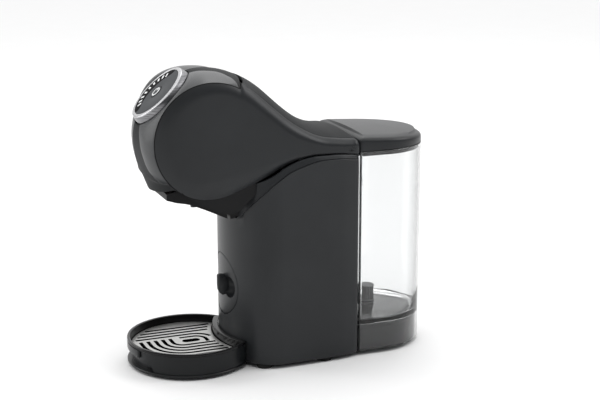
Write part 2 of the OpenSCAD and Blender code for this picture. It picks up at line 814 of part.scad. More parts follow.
// Quarter of a ring slot of radius a, lying in the quadrant (sx, sy)
module slot_arc(a, sx, sy) {
    intersection() {
        difference() {
            circle(a + slot_w / 2);
            circle(a - slot_w / 2);
        }
        translate([sx < 0 ? -70 : 0, sy < 0 ? -70 : 0]) square(70);
    }
}

module drip_grid() {
    color(steel) difference() {
        translate([0, 0, grid_z]) linear_extrude(2) tray_hollow(3.6, 6.4);
        translate([0, tray_y, grid_z - 1]) linear_extrude(4) {
            // Long hole in the middle
            translate([0, -3]) circle(4);
            translate([0, 6]) circle(4);
            translate([-4, -3]) square([8, 9]);
            intersection() {
                union() {
                    // Slots that cross the front and turn back along one side
                    for (k = [0:4]) let (a = 10 + 7 * k) {
                        translate([0, -6]) slot_arc(a, 1, -1);
                        slot_y(a, -6.5, 15 + 3 * k);
                        slot_x(-6 - a, -13, 0.5);
                    }
                    // Slots that run back along the other side, the inner ones turning behind the hole
                    for (k = [0:4]) let (a = 10 + 7 * k) {
                        slot_y(k > 1 ? -a - 2 : -a, k == 0 ? -8 : -40, k < 2 ? 6.5 : 40);
                    }
                    for (k = [0:1]) let (a = 10 + 7 * k) {
                        translate([0, 6]) slot_arc(a, -1, 1);
                        slot_x(6 + a, -0.5, k == 0 ? 6 : 0);
                    }
                }
                difference() {
                    circle(tray_r - 7.5);
                    translate([0, nose_cy - tray_y]) circle(nose_r + 10);
                    // Bars that tie the pattern together
                    translate([-14.6, -60]) square([3.2, 49]);
                }
            }
        }
    }
}

// ---------- rinsing tool ----------

module rinsing_tool() {
    color(charcoal) difference() {
        union() {
            intersection() {
                translate([0, 0, tool_z]) y_cyl(tool_r, -60, -41);
                translate([0, 0, 0]) linear_extrude(150) column_plan(0.2);
            }
            // Grip fin
            translate([3, -59, tool_z - 8.5]) cube([5, 10, 17]);
            translate([5.5, -59, tool_z]) y_cyl(0.9, -0.6, 4);
        }
        // Finger hollow beside the fin
        translate([15, -57, tool_z]) intersection() {
            rotate([-90, 0, 0]) cylinder(r = 7, h = 11.5);
            translate([-20, -1, -20]) cube([40, 14, 40]);
        }
    }
}

// ---------- tank ----------

module water_tank() {
    color(clear) difference() {
        union() {
            translate([0, 0, platform_top + 0.3]) linear_extrude(tank_top - platform_top - 0.3) tank_plan(0, 0);
            translate([0, 0, col_bottom - 0.2]) linear_extrude(platform_top) difference() {
                tank_plan(0, 0);
                tank_plan(tank_wall, -5);
            }
        }
        translate([0, 0, platform_top + 2.7]) linear_extrude(200) tank_plan(tank_wall, tank_wall);
        // Valve hole in the floor
        translate([0, seat_y, platform_top - 2]) cylinder(r = 6.1, h = 6);
        // Slot that the latch snaps into
        translate([-7, tank_rear - 4, 20]) cube([14, 6, 5]);
    }
}

module tank_hook() {
    color([0.6, 0.65, 0.68, 0.6]) translate([22, tank_front + tank_wall, 0]) {
        difference() {
            union() {
                translate([-3.5, 0, 158]) cube([7, 3, 26]);
                translate([-3.5, 0, 158]) cube([7, 8, 2.6]);
                translate([0, 5, 163]) x_cyl(2.6, -5, 5);
                translate([-3.5, 2.5, 160]) cube([7, 4, 3]);
            }
            translate([0, 5, 163]) x_cyl(1.2, -8, 8);
        }
    }
}

module tank_valve() {
    color([0.5, 0.5, 0.5]) translate([0, seat_y, 0]) difference() {
        union() {
            translate([0, 0, platform_top + 0.5]) cylinder(r = 6, h = 4);
            translate([0, 0, platform_top + 2.75]) cylinder(r = 8, h = 2);
        }
        translate([0, 0, platform_top - 1]) cylinder(r = 2.2, h = 4);
        for (a = [0:60:300]) rotate([0, 0, a]) translate([3.8, 0, platform_top]) cylinder(r = 0.9, h = 8);
    }
}

module valve_seal() {
    color(black) translate([0, seat_y, platform_top + 4.75]) difference() {
        cylinder(r = 7.8, h = 1.2);
        translate([0, 0, -1]) cylinder(r = 5.4, h = 4);
    }
}

module inlet_filter() {
    color([0.55, 0.56, 0.57]) translate([0, seat_y, platform_top + 5.95]) difference() {
        union() {
            cylinder(r = 8, h = 1.5);
            cylinder(r = 6.6, h = 15);
            for (a = [0:30:330]) rotate([0, 0, a]) translate([6.4, -0.6, 0]) cube([1.3, 1.2, 15]);
            translate([0, 0, 15]) cylinder(r = 7.7, h = 1.4);
        }
        translate([0, 0, -1]) cylinder(r = 5.4, h = 14.5);
    }
}

module tank_lid() {
    color(charcoal) difference() {
        union() {
            intersection() {
                translate([0, 0, tank_top + 0.2]) linear_extrude(30) tank_plan(0.2, 0);
                // Crown that falls slightly to the back
                translate([0, tank_front, 211]) rotate([-3.4, 0, 0]) translate([0, 0, -200]) y_cyl(200, -10, 120, $fn = 200);
            }
            translate([0, 0, tank_top - 4.5]) linear_extrude(5) difference() {
                tank_plan(tank_wall + 0.4, tank_wall + 0.4);
                tank_plan(tank_wall + 2.4, tank_wall + 2.4);
            }
        }
        // Hollow underside
        translate([0, 0, tank_top - 1]) linear_extrude(6) tank_plan(tank_wall + 2.4, tank_wall + 2.4);
        // Bevel along the upper edge
        for (s = [-1, 1]) translate([s * tank_half, 0, 211]) rotate([0, 45, 0])
            translate([-8, tank_front - 10, -8]) cube([16, 110, 16]) ;
    }
}

base_plate();
base_feet();
base_screws();
body_shell();
rear_wall();
tank_platform();
tank_latch();
inlet_seat();
seat_seal();
cord_gland();
head_shell_right();
head_shell_left();
head_screws();
brew_housing();
injector();
injector_seal();
pivot_pins();
inner_frame();
water_pump();
pump_mounts();
heater_block();
flow_meter();
main_board();
supply_hose();
inlet_hose();
pump_hose();
brew_hose();
handle_visor();
handle_brackets();
dial_housing();
dial_face();
light_bars();
display_board();
button_spring();
control_ring();
start_button();
button_mark();
capsule_holder();
holder_spout();
drip_tray();
tray_pads();
drip_grid();
rinsing_tool();
water_tank();
tank_hook();
tank_valve();
valve_seal();
inlet_filter();
tank_lid();
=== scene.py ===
import json
import math

import bmesh
import bpy
from mathutils import Matrix, Vector


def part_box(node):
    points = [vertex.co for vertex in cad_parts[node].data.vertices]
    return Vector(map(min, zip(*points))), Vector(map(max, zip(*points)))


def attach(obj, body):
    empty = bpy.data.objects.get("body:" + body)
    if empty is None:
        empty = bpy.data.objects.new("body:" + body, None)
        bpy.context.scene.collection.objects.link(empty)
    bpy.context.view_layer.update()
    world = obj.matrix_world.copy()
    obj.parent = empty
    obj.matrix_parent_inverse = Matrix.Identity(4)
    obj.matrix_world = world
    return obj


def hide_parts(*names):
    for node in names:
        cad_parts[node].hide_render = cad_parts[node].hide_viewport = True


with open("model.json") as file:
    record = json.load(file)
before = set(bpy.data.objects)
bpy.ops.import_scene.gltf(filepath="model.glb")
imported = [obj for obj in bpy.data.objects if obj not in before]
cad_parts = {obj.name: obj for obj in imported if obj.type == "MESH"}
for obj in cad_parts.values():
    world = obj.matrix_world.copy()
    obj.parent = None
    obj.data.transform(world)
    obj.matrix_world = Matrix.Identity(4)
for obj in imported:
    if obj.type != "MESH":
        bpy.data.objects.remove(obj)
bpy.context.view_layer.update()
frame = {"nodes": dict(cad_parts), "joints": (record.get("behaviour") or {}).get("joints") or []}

MM = 0.001
JOINTS = {j["name"]: j for j in frame["joints"]}


# -------- numbers from the frame

def box_mm(node):
    return [[v / MM for v in corner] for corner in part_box(node)]


HINGE, DIAL = [[v / MM for v in JOINTS[name]["pos_m"]] for name in ("lock_handle_hinge", "selector_turn")]
DIAL_AXIS = Vector(JOINTS["selector_turn"]["axis"]).normalized()
DISC_Y, DISC_Z = HINGE[1:]
(_, COL_FRONT, COL_BOTTOM), (COL_HALF, COL_REAR, _) = box_mm("body_shell")
HEAD_HALF, TAIL_REAR, _ = box_mm("head_shell_right")[1]
VISOR_HALF = box_mm("handle_visor")[1][0]
TANK_LOW, TANK_HIGH = box_mm("water_tank")
TRAY_LOW, TRAY_HIGH = box_mm("drip_tray")
TRAY_R = TRAY_HIGH[0]
TRAY_Y = TRAY_LOW[1] + TRAY_R
GRID_LOW, GRID_HIGH = box_mm("drip_grid")
PLAT_LOW, PLAT_HIGH = box_mm("tank_platform")
LID_LOW, LID_HIGH = box_mm("tank_lid")
TOOL_LOW, TOOL_HIGH = box_mm("rinsing_tool")
TOOL_Z = (TOOL_LOW[2] + TOOL_HIGH[2]) / 2
TOOL_R = TOOL_HIGH[0]
SEAT_Y = sum(corner[1] for corner in box_mm("inlet_seat")) / 2

# Shape tables, (y, value) in millimetres unless a comment says otherwise
CROWN = [(-60, 270.6), (-48.7, 268.9), (-42, 266.6), (-37.6, 264.8), (-28, 259.6), (-20, 253.8), (-10, 244.9),
         (0, 235.9), (10, 227.9), (20, 221.6), (30, 217.2), (40, 214.2), (50, 212.3), (62.5, 211.0)]
CREASE_DROP = [(-60, 4.0), (-49.4, 4.7), (-40, 7.5), (-28, 11.4), (-20, 12.6), (-10, 12.4), (0, 11.0), (10, 9.2),
               (20, 7.9), (30, 6.6), (40, 5.0), (50, 4.3), (62.5, 3.7)]
SEAM = [(-54, 167), (-45, 170.6), (-37, 173.7), (-29, 177.3), (-21, 181.3), (-13, 186), (-4.5, 190), (4, 193),
        (12, 194.7), (20, 195.6), (36, 195.6), (62.5, 193.7)]
GROOVE = [(-54, 127), (-50.5, 131), (-47.6, 136.7), (-45.6, 141.5), (-41.6, 149.3), (-36, 157.5), (-29.4, 165.1),
          (-22.4, 172.1), (-14.8, 177.7), (-6.7, 182.8), (1.6, 186), (9.8, 188.4), (18, 190.6), (26.6, 191.7),
          (43, 191.6), (52.5, 190.3), (62, 189.1)]
CROWN_C = (-69.7, 208.0)
CROWN_R = 65.0
SEAM_R = 52.5
# Lock handle, by direction in degrees about the hinge: radius along the middle, and radius and half width of the
# flat band's crease
MIDDLE_R = [(55, 62.8), (62, 61.4), (68, 60.0), (74.5, 58.8), (82.7, 57.8), (91.1, 57.1), (100, 56.2), (120, 55.6),
            (165, 55.4), (187, 55.5), (195, 55.8), (203, 56.6), (210, 58.1), (218, 60.8), (225, 64.0), (228.4, 65.9)]
CREASE_R = [(62.2, 53.4), (67.3, 57.7), (71.3, 58.4), (74.5, 58.3), (82.7, 57.5), (91.1, 56.9), (98.9, 56.0),
            (110, 55.5), (180, 55.3), (194.9, 55.6), (203.1, 56.3), (208.9, 56.9), (217.7, 57.0), (221, 56.0),
            (226, 54.6), (232, 53.6)]
CREASE_X = [(62.2, 49), (67.3, 34), (68.5, 26), (71.3, 19.75), (74.5, 15.25), (82.7, 11.5), (91.1, 8.5), (98.9, 7.2),
            (110, 7.5), (165, 8), (172.9, 9.5), (180.2, 11.25), (186.5, 12.5), (194.9, 14.25), (203.1, 16.75),
            (208.9, 20.25), (213.4, 26.75), (217.7, 35.25), (221, 41), (226, 46), (232, 49)]
REAR_DIR = (55.0, 62.2)
LIP_DIR = (228.0, 231.5)
HOOD_DIR = 60.2
TAPER_FROM_Y, TAPER_OVER = -80, 48
TAPER_SIDE, TAPER_BACK, TAPER_DOWN = 0.265, 0.256, 0.208
CREASE_HALF, TURN_Y = 46.0, 57.0
RIM_R, FILL_R = 51.7, 52.0


def lookup(table, x):
    """Smooth interpolation through a table, with slopes that don't overshoot."""
    n = len(table)
    if x <= table[0][0]:
        return table[0][1]
    if x >= table[-1][0]:
        return table[-1][1]
    k = max(i for i in range(n - 1) if table[i][0] <= x)
    step = [(table[i + 1][1] - table[i][1]) / (table[i + 1][0] - table[i][0]) for i in range(n - 1)]

    def slope(i):
        if i in (0, n - 1):
            return step[min(i, n - 2)]
        a, b = step[i - 1], step[i]
        return 0 if a * b <= 0 else 2 * a * b / (a + b)

    x0, y0 = table[k]
    x1, y1 = table[k + 1]
    h = x1 - x0
    t = (x - x0) / h
    return ((2 * t ** 3 - 3 * t ** 2 + 1) * y0 + (t ** 3 - 2 * t ** 2 + t) * h * slope(k)
            + (-2 * t ** 3 + 3 * t ** 2) * y1 + (t ** 3 - t ** 2) * h * slope(k + 1))


def mix(a, b, t):
    return a + (b - a) * t


def spread(a, b, n):
    return [a + (b - a) * i / n for i in range(n + 1)]


def arc(cx, cy, r, a0, a1, n):
    """Points of an arc, with its ends in degrees."""
    return [(cx + r * math.cos(math.radians(a)), cy + r * math.sin(math.radians(a))) for a in spread(a0, a1, n)]


def nose_arc(cx, cy, r, degrees):
    """Points of an arc that bulges forward, by degrees from straight ahead."""
    return [(cx + r * math.sin(math.radians(a)), cy - r * math.cos(math.radians(a))) for a in degrees]


def hoop(r, z, n):
    """Circle of n points at height z."""
    return [(r * math.cos(2 * math.pi * k / n), r * math.sin(2 * math.pi * k / n), z) for k in range(n)]


def taper(x, y, z):
    """Draws the head's sides in towards its front."""
    d = abs(x) * TAPER_SIDE * min(1.0, max(0.0, TAPER_FROM_Y - y) / TAPER_OVER) ** 2
    return math.copysign(abs(x) - d, x), y + TAPER_BACK * d, z - TAPER_DOWN * d


# -------- materials

def new_material(name, base, rough, metallic=0.0, specular=0.5):
    m = bpy.data.materials.new(name)
    m.use_nodes = True
    s = m.node_tree.nodes["Principled BSDF"]
    for key, value in (("Base Color", (*base, 1)), ("Roughness", rough), ("Metallic", metallic),
                       ("Specular IOR Level", specular)):
        s.inputs[key].default_value = value
    return m, m.node_tree, s


def add(tree, kind, **values):
    n = tree.nodes.new(kind)
    for k, v in values.items():
        if k in n.inputs:
            n.inputs[k].default_value = v
        else:
            setattr(n, k, v)
    return n


def noise(t, scale, detail, stretch=None):
    """Noise over the object's own coordinates, which may be stretched."""
    where = add(t, "ShaderNodeTexCoord").outputs["Object"]
    if stretch:
        mapping = add(t, "ShaderNodeMapping", Scale=stretch)
        t.links.new(where, mapping.inputs["Vector"])
        where = mapping.outputs["Vector"]
    n = add(t, "ShaderNodeTexNoise", Scale=scale, Detail=detail)
    t.links.new(where, n.inputs["Vector"])
    return n.outputs["Fac"]


def shade(t, factor, target, *stops):
    """Colours an input from a factor, through two stops of (position, colour)."""
    ramp = add(t, "ShaderNodeValToRGB")
    for element, (position, colour) in zip(ramp.color_ramp.elements, stops):
        element.position = position
        element.color = (*colour, 1)
    t.links.new(factor, ramp.inputs["Fac"])
    t.links.new(ramp.outputs["Color"], target)


def emboss(t, s, height, strength, depth):
    bump = add(t, "ShaderNodeBump", Strength=strength, Distance=depth)
    t.links.new(height, bump.inputs["Height"])
    t.links.new(bump.outputs["Normal"], s.inputs["Normal"])


def surface(t, s, base, rough, wide, fine, contrast, edge, swing, depth):
    """Colour unevenness from the wide noise, roughness and bump from the fine one."""
    shade(t, wide, s.inputs["Base Color"], (edge, [c * (1 - contrast) for c in base]),
          (1 - edge, [c * (1 + contrast) for c in base]))
    span = add(t, "ShaderNodeMapRange", **{"To Min": rough - swing, "To Max": rough + swing})
    t.links.new(fine, span.inputs["Value"])
    t.links.new(span.outputs["Result"], s.inputs["Roughness"])
    emboss(t, s, fine, 0.5, depth)


def moulded(name, base, rough, grain=2600.0, depth=0.00006, contrast=0.12, specular=0.5):
    """Moulded plastic with a fine spark-eroded grain."""
    m, t, s = new_material(name, base, rough, specular=specular)
    surface(t, s, base, rough, noise(t, 14.0, 3.0), noise(t, grain, 2.0), contrast, 0.35, 0.05, depth)
    return m


def brushed(name, base, rough, stretch, contrast=0.25, aniso=0.5, metallic=1.0, specular=0.5):
    """Brushed metal with long thin streaks."""
    m, t, s = new_material(name, base, rough, metallic, specular)
    s.inputs["Anisotropic"].default_value = aniso
    streaks = noise(t, 1.0, 4.0, stretch)
    surface(t, s, base, rough, streaks, streaks, contrast, 0.3, 0.08, 0.00004)
    return m


def clear_plastic(name, tint, rough=0.02):
    """Clear moulded plastic with painted shade where it is seen edge on, and faint flow lines."""
    m, t, s = new_material(name, tint, rough)
    s.inputs["Transmission Weight"].default_value = 1.0
    s.inputs["IOR"].default_value = 1.45
    weight = add(t, "ShaderNodeLayerWeight", Blend=0.35)
    # Painted shade: the colour darkens where the surface is seen edge on
    shade(t, weight.outputs["Facing"], s.inputs["Base Color"], (0.3, tint), (0.9, [c * 0.07 for c in tint]))
    emboss(t, s, noise(t, 14.0, 0.0), 0.08, 0.0002)
    return m


CHARCOAL = moulded("Charcoal satin plastic", (0.0205, 0.022, 0.0238), 0.35, specular=0.26)
CHARCOAL_TOP = moulded("Lock handle satin plastic", (0.026, 0.028, 0.0302), 0.33, specular=0.36)
# Painted shade: a darker, duller copy of the charcoal plastic for the flat bands that face upwards
CHARCOAL_PAINTED_SHADE = moulded("Satin plastic with painted shade on the flat bands", (0.012, 0.013, 0.014), 0.5, specular=0.05)
CHARCOAL_LOW = moulded("Base satin plastic", (0.0075, 0.0085, 0.0095), 0.30, specular=0.24)
BLACK = moulded("Black plastic", (0.006, 0.006, 0.0065), 0.5, contrast=0.2, specular=0.2)
BAND_BLACK = moulded("Dull black print", (0.003, 0.003, 0.003), 0.6, contrast=0.2, specular=0.04)
GLOSS_BLACK = moulded("Glossy black plastic", (0.004, 0.004, 0.0045), 0.24, grain=900, depth=0.00001,
                      contrast=0.2, specular=0.25)
RUBBER = moulded("Soft rubber", (0.012, 0.012, 0.012), 0.7, grain=1800, depth=0.0001, contrast=0.25,
                 specular=0.25)
GREY = moulded("Grey plastic", (0.13, 0.135, 0.14), 0.4)
IVORY = moulded("Ivory hose", (0.55, 0.54, 0.5), 0.45)
WHITE = moulded("White light bar", (0.85, 0.86, 0.86), 0.35, grain=1500, contrast=0.03)
FACE = brushed("Brushed grey face", (0.062, 0.065, 0.069), 0.5, (60, 2600, 2600), contrast=0.12, aniso=0.2,
               metallic=0.0, specular=0.1)
CHROME = brushed("Brushed ring metal", (0.47, 0.47, 0.48), 0.27, (2200, 2200, 60), contrast=0.3)
# Painted shade: a darker copy of the ring metal for the ring's side
RING_SIDE_PAINTED_SHADE = brushed("Brushed ring metal with painted shade on its side", (0.2, 0.2, 0.207), 0.3, (60, 60, 1500), contrast=0.45)
STEEL = brushed("Steel", (0.6, 0.6, 0.61), 0.3, (900, 900, 60), contrast=0.15)
GRID_METAL = brushed("Satin grid metal", (0.46, 0.46, 0.45), 0.36, (60, 1500, 1500), contrast=0.08, metallic=0.7)
ALUMINIUM = brushed("Cast aluminium", (0.62, 0.62, 0.63), 0.5, (300, 300, 300), contrast=0.1)
BOARD = moulded("Green circuit board", (0.02, 0.12, 0.05), 0.45)
SILICONE = moulded("Red silicone", (0.3, 0.03, 0.02), 0.5)
CLEAR = clear_plastic("Clear tank plastic", (0.88, 0.886, 0.888))
# Painted shade: a near-black copy of the clear tank plastic for the tank's edges
CLEAR_EDGE_PAINTED_SHADE = clear_plastic("Clear tank plastic with painted shade at its edges", (0.03, 0.032, 0.033))
CLEAR_PART = clear_plastic("Clear hook plastic", (0.93, 0.94, 0.95), 0.08)
FLOOR = moulded("Studio floor", (0.9, 0.9, 0.9), 0.9, grain=40, depth=0.0001, contrast=0.004, specular=0.1)


# -------- mesh helpers

def merge(bm, distance):
    bmesh.ops.remove_doubles(bm, verts=bm.verts, dist=distance)
    bmesh.ops.dissolve_degenerate(bm, edges=bm.edges, dist=distance)


def smooth(o, sharp):
    for p in o.data.polygons:
        p.use_smooth = True
    o.data.set_sharp_from_angle(angle=math.radians(sharp))


def declare(o, body, stands_for=()):
    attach(o, body)
    if stands_for:
        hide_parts(*stands_for)


def piece(name, part, material, sharp, body=None, stands_for=(), scale=MM, patches=()):
    """A mesh piece from points in millimetres, with edges kept sharp above an angle.

    Each patch is a material and the faces that take it.
    """
    verts, faces = part
    me = bpy.data.meshes.new(name)
    me.from_pydata([Vector(v) * scale for v in verts], [], faces)
    me.materials.append(material)
    for k, (other, chosen) in enumerate(patches, 1):
        me.materials.append(other)
        for face in chosen:
            me.polygons[face].material_index = k
    bm = bmesh.new()
    bm.from_mesh(me)
    merge(bm, 1e-7)
    bmesh.ops.recalc_face_normals(bm, faces=bm.faces)
    bm.to_mesh(me)
    bm.free()
    o = bpy.data.objects.new(name, me)
    bpy.context.scene.collection.objects.link(o)
    smooth(o, sharp)
    if body:
        declare(o, body, stands_for)
    return o


def loft(rings, caps=True, loop=False):
    """Faces between rings of equal length; caps shut the first and last ring, a loop joins them."""
    n, m = len(rings[0]), len(rings)
    faces = []
    for k in range(m if loop else m - 1):
        q = (k + 1) % m
        faces += [(k * n + i, k * n + (i + 1) % n, q * n + (i + 1) % n, q * n + i) for i in range(n)]
    if caps and not loop:
        faces.append(tuple(range(n))[::-1])
        faces.append(tuple((m - 1) * n + i for i in range(n)))
    return [p for r in rings for p in r], faces


def lathe(profile, place, n=96):
    """Turns a closed profile of (radius, height) about local Z and places it."""
    m = len(profile)
    verts, faces = [], []
    for k in range(n):
        a = 2 * math.pi * k / n
        q = (k + 1) % n
        verts += [place @ Vector((r * math.cos(a), r * math.sin(a), z)) for r, z in profile]
        faces += [(k * m + i, q * m + i, q * m + (i + 1) % m, k * m + (i + 1) % m) for i in range(m)]
    return verts, faces


def placed(matrix, part):
    return [matrix @ Vector(p) for p in part[0]], part[1]


def join(*parts):
    verts, faces = [], []
    for v, f in parts:
        base = len(verts)
        verts += list(v)
        faces += [tuple(i + base for i in face) for face in f]
    return verts, faces


def modifier(o, kind, **values):
    """Adds a modifier and applies it."""
    m = o.modifiers.new(kind.lower(), kind)
    for k, v in values.items():
        setattr(m, k, v)
    dg = bpy.context.evaluated_depsgraph_get()
    dg.update()
    me = bpy.data.meshes.new_from_object(o.evaluated_get(dg))
    o.modifiers.clear()
    o.data = me


def drop_slivers(bm):
    """Deletes loose edges and patches too small to shut a volume."""
    bmesh.ops.delete(bm, geom=[e for e in bm.edges if not e.link_faces], context="EDGES")
    seen = set()
    slivers = []
    for start in bm.faces:
        if start in seen:
            continue
        seen.add(start)
        patch = [start]
        for face in patch:
            for e in face.edges:
                for other in e.link_faces:
                    if other not in seen:
                        seen.add(other)
                        patch.append(other)
        if len(patch) < 4:
            slivers += patch
    bmesh.ops.delete(bm, geom=slivers, context="FACES")


def cut(o, sharp, *parts, operation="DIFFERENCE"):
    """Cuts parts out of a piece, or joins them to it, and cleans the seams."""
    for part in parts:
        cutter = piece("cutter", part, BLACK, sharp)
        modifier(o, "BOOLEAN", object=cutter, operation=operation, solver="EXACT")
        bpy.data.objects.remove(cutter)
    bm = bmesh.new()
    bm.from_mesh(o.data)
    merge(bm, 2e-6)
    drop_slivers(bm)
    bm.to_mesh(o.data)
    bm.free()
    smooth(o, sharp)


def inset(outline, t):
    """Moves a closed, counter-clockwise outline inwards by t."""
    n = len(outline)
    if t == 0:
        return [tuple(p) for p in outline]
    out = []
    for i in range(n):
        a, b, c = Vector(outline[i - 1]), Vector(outline[i]), Vector(outline[(i + 1) % n])
        u, v = (b - a).normalized(), (c - b).normalized()
        nu, nv = Vector((-u.y, u.x)), Vector((-v.y, v.x))
        m = nu + nv
        m = m / max(m.length_squared / 2, 0.35)
        out.append((b.x + m.x * t, b.y + m.y * t))
    return out


def plate(outline, levels):
    """Stacks insets of one outline: levels are (height, inset), bottom first."""
    rings = [[(x, y, z) for x, y in inset(outline, t)] for z, t in levels]
    return loft(rings)


def rounded_levels(z0, z1, r, n):
    """Levels of a plate with both edges rounded."""
    low = [(z0 + r * (1 - math.cos(a)), r * (1 - math.sin(a))) for a in spread(0, math.pi / 2, n)]
    high = [(z1 - r * (1 - math.cos(a)), r * (1 - math.sin(a))) for a in spread(math.pi / 2, 0, n)]
    return low + high


def rod(p, axis, r, length, n):
    """Cylinder from p along an axis."""
    place = Matrix.Translation(Vector(p)) @ Vector(axis).to_track_quat("Z", "Y").to_matrix().to_4x4()
    return lathe([(0.001, 0), (r, 0), (r, length), (0.001, length)], place, n)


def cuboid(low, high, r=0.0, n=2):
    """Box, with rounded vertical and horizontal edges if r is given."""
    if not r:
        return plate([(low[0], low[1]), (high[0], low[1]), (high[0], high[1]), (low[0], high[1])],
                     [(low[2], 0), (high[2], 0)])
    r = min(r, *[(high[i] - low[i]) / 2.01 for i in range(3)])
    x0, x1, y0, y1 = low[0] + r, high[0] - r, low[1] + r, high[1] - r
    out = []
    for cx, cy, a0 in ((x1, y0, -90), (x1, y1, 0), (x0, y1, 90), (x0, y0, 180)):
        out += arc(cx, cy, r, a0, a0 + 90, n)
    return plate(out, rounded_levels(low[2], high[2], r * 0.98, n))


# -------- plans

NOSE_R = 73.4
SIDE_R = 33.0
NOSE_CY = COL_FRONT + NOSE_R
SIDE_CX = COL_HALF - SIDE_R
SIDE_CY = NOSE_CY - math.sqrt((NOSE_R - SIDE_R) ** 2 - SIDE_CX ** 2)
NOSE_END = math.degrees(math.atan2(SIDE_CX, NOSE_CY - SIDE_CY))


def column_outline():
    """Plan of the column; the right half runs from the middle of the nose to the rear corner."""
    half = nose_arc(0, NOSE_CY, NOSE_R, spread(0, NOSE_END, 22))
    half += nose_arc(SIDE_CX, SIDE_CY, SIDE_R, spread(NOSE_END, 90, 22)[1:])
    side = [(SIDE_CY, COL_HALF), (17, 56.2), (44, 55.2), (53, 53.9), (COL_REAR - 3.2, 52.8)]
    half += [(lookup(side, y), y) for y in spread(SIDE_CY, COL_REAR - 3.2, 24)[1:]]
    for a in spread(0, 90, 5)[1:]:
        r = math.radians(a)
        half.append((52.7 - 3 * (1 - math.cos(r)), COL_REAR - 3.2 + 3.2 * math.sin(r)))
    return [(-x, y) for x, y in reversed(half[1:])] + half


def tank_outline(half, front, rear, corner):
    """Flat front with small corner radii, straight sides and a round back, counter-clockwise."""
    cy = rear - half
    out = arc(half - corner, front + corner, corner, -90, 0, 4)
    out += [(half, y) for y in spread(front + corner, cy, 8)[1:-1]]
    out += arc(0, cy, half, 0, 180, 72)
    out += [(-half, y) for y in spread(cy, front + corner, 8)[1:-1]]
    out += arc(-half + corner, front + corner, corner, 180, 270, 4)
    out += [(x, front) for x in spread(-half + corner, half - corner, 16)[1:-1]]
    return out


# -------- head

def visor_dir(x, u):
    """Direction about the hinge at a distance x from the middle: u runs from the rear edge to the lip."""
    t = min(abs(x) / VISOR_HALF, 1.0)
    return mix(mix(REAR_DIR[0], REAR_DIR[1], t ** 2.2), mix(LIP_DIR[0], LIP_DIR[1], t * t), u)


def about_hinge(x, angle, r):
    a = math.radians(angle)
    return Vector((x, DISC_Y + r * math.cos(a), DISC_Z + r * math.sin(a)))


def under_ring(p):
    """Sinks the surface softly below a cone round the selector ring's foot."""
    foot_r, foot_depth, cone, soft, reach = 32, 5.6, 0.56, 1.2, 47.5
    d = p - Vector(DIAL)
    height = d.dot(DIAL_AXIS)
    rho = (d - DIAL_AXIS * height).length
    over = (height + foot_depth - max(0.0, rho - foot_r) * cone) / soft
    if over < -6 or rho > reach:
        return p
    fade = min(1.0, (reach - rho) / 4)
    return p - DIAL_AXIS * soft * math.log(1 + math.exp(min(over, 30))) * fade


def visor_half_section(u):
    """Right half of the outer section, from the middle to the seam."""
    seam = Vector(taper(*about_hinge(VISOR_HALF, mix(REAR_DIR[1], LIP_DIR[1], u), SEAM_R)))
    low, high = 0.0, VISOR_HALF
    for _ in range(30):
        x = (low + high) / 2
        if lookup(CREASE_X, visor_dir(x, u)) > x:
            low = x
        else:
            high = x
    x = min(low, seam.x - 0.9)
    angle = visor_dir(x, u)
    merge = min(1.0, max(0.0, (low - (seam.x - 5)) / 5))
    flat_r = mix(lookup(CREASE_R, angle), math.hypot(seam.y - DISC_Y, seam.z - DISC_Z) + 0.25, merge)
    out = []
    for t in spread(0, 1, 14):
        d = visor_dir(x * t, u)
        out.append(about_hinge(x * t, d, mix(lookup(MIDDLE_R, d), flat_r, t ** mix(2.2, 1.75, u))))
    crease = out[-1]
    away = Vector((0, math.cos(math.radians(angle)), math.sin(math.radians(angle))))
    bulge = 0.045 * (seam - crease).length
    for t in spread(0, 1, 16)[1:]:
        out.append(crease.lerp(seam, t) + away * bulge * 4 * t * (1 - t))
    return [under_ring(p) for p in out]


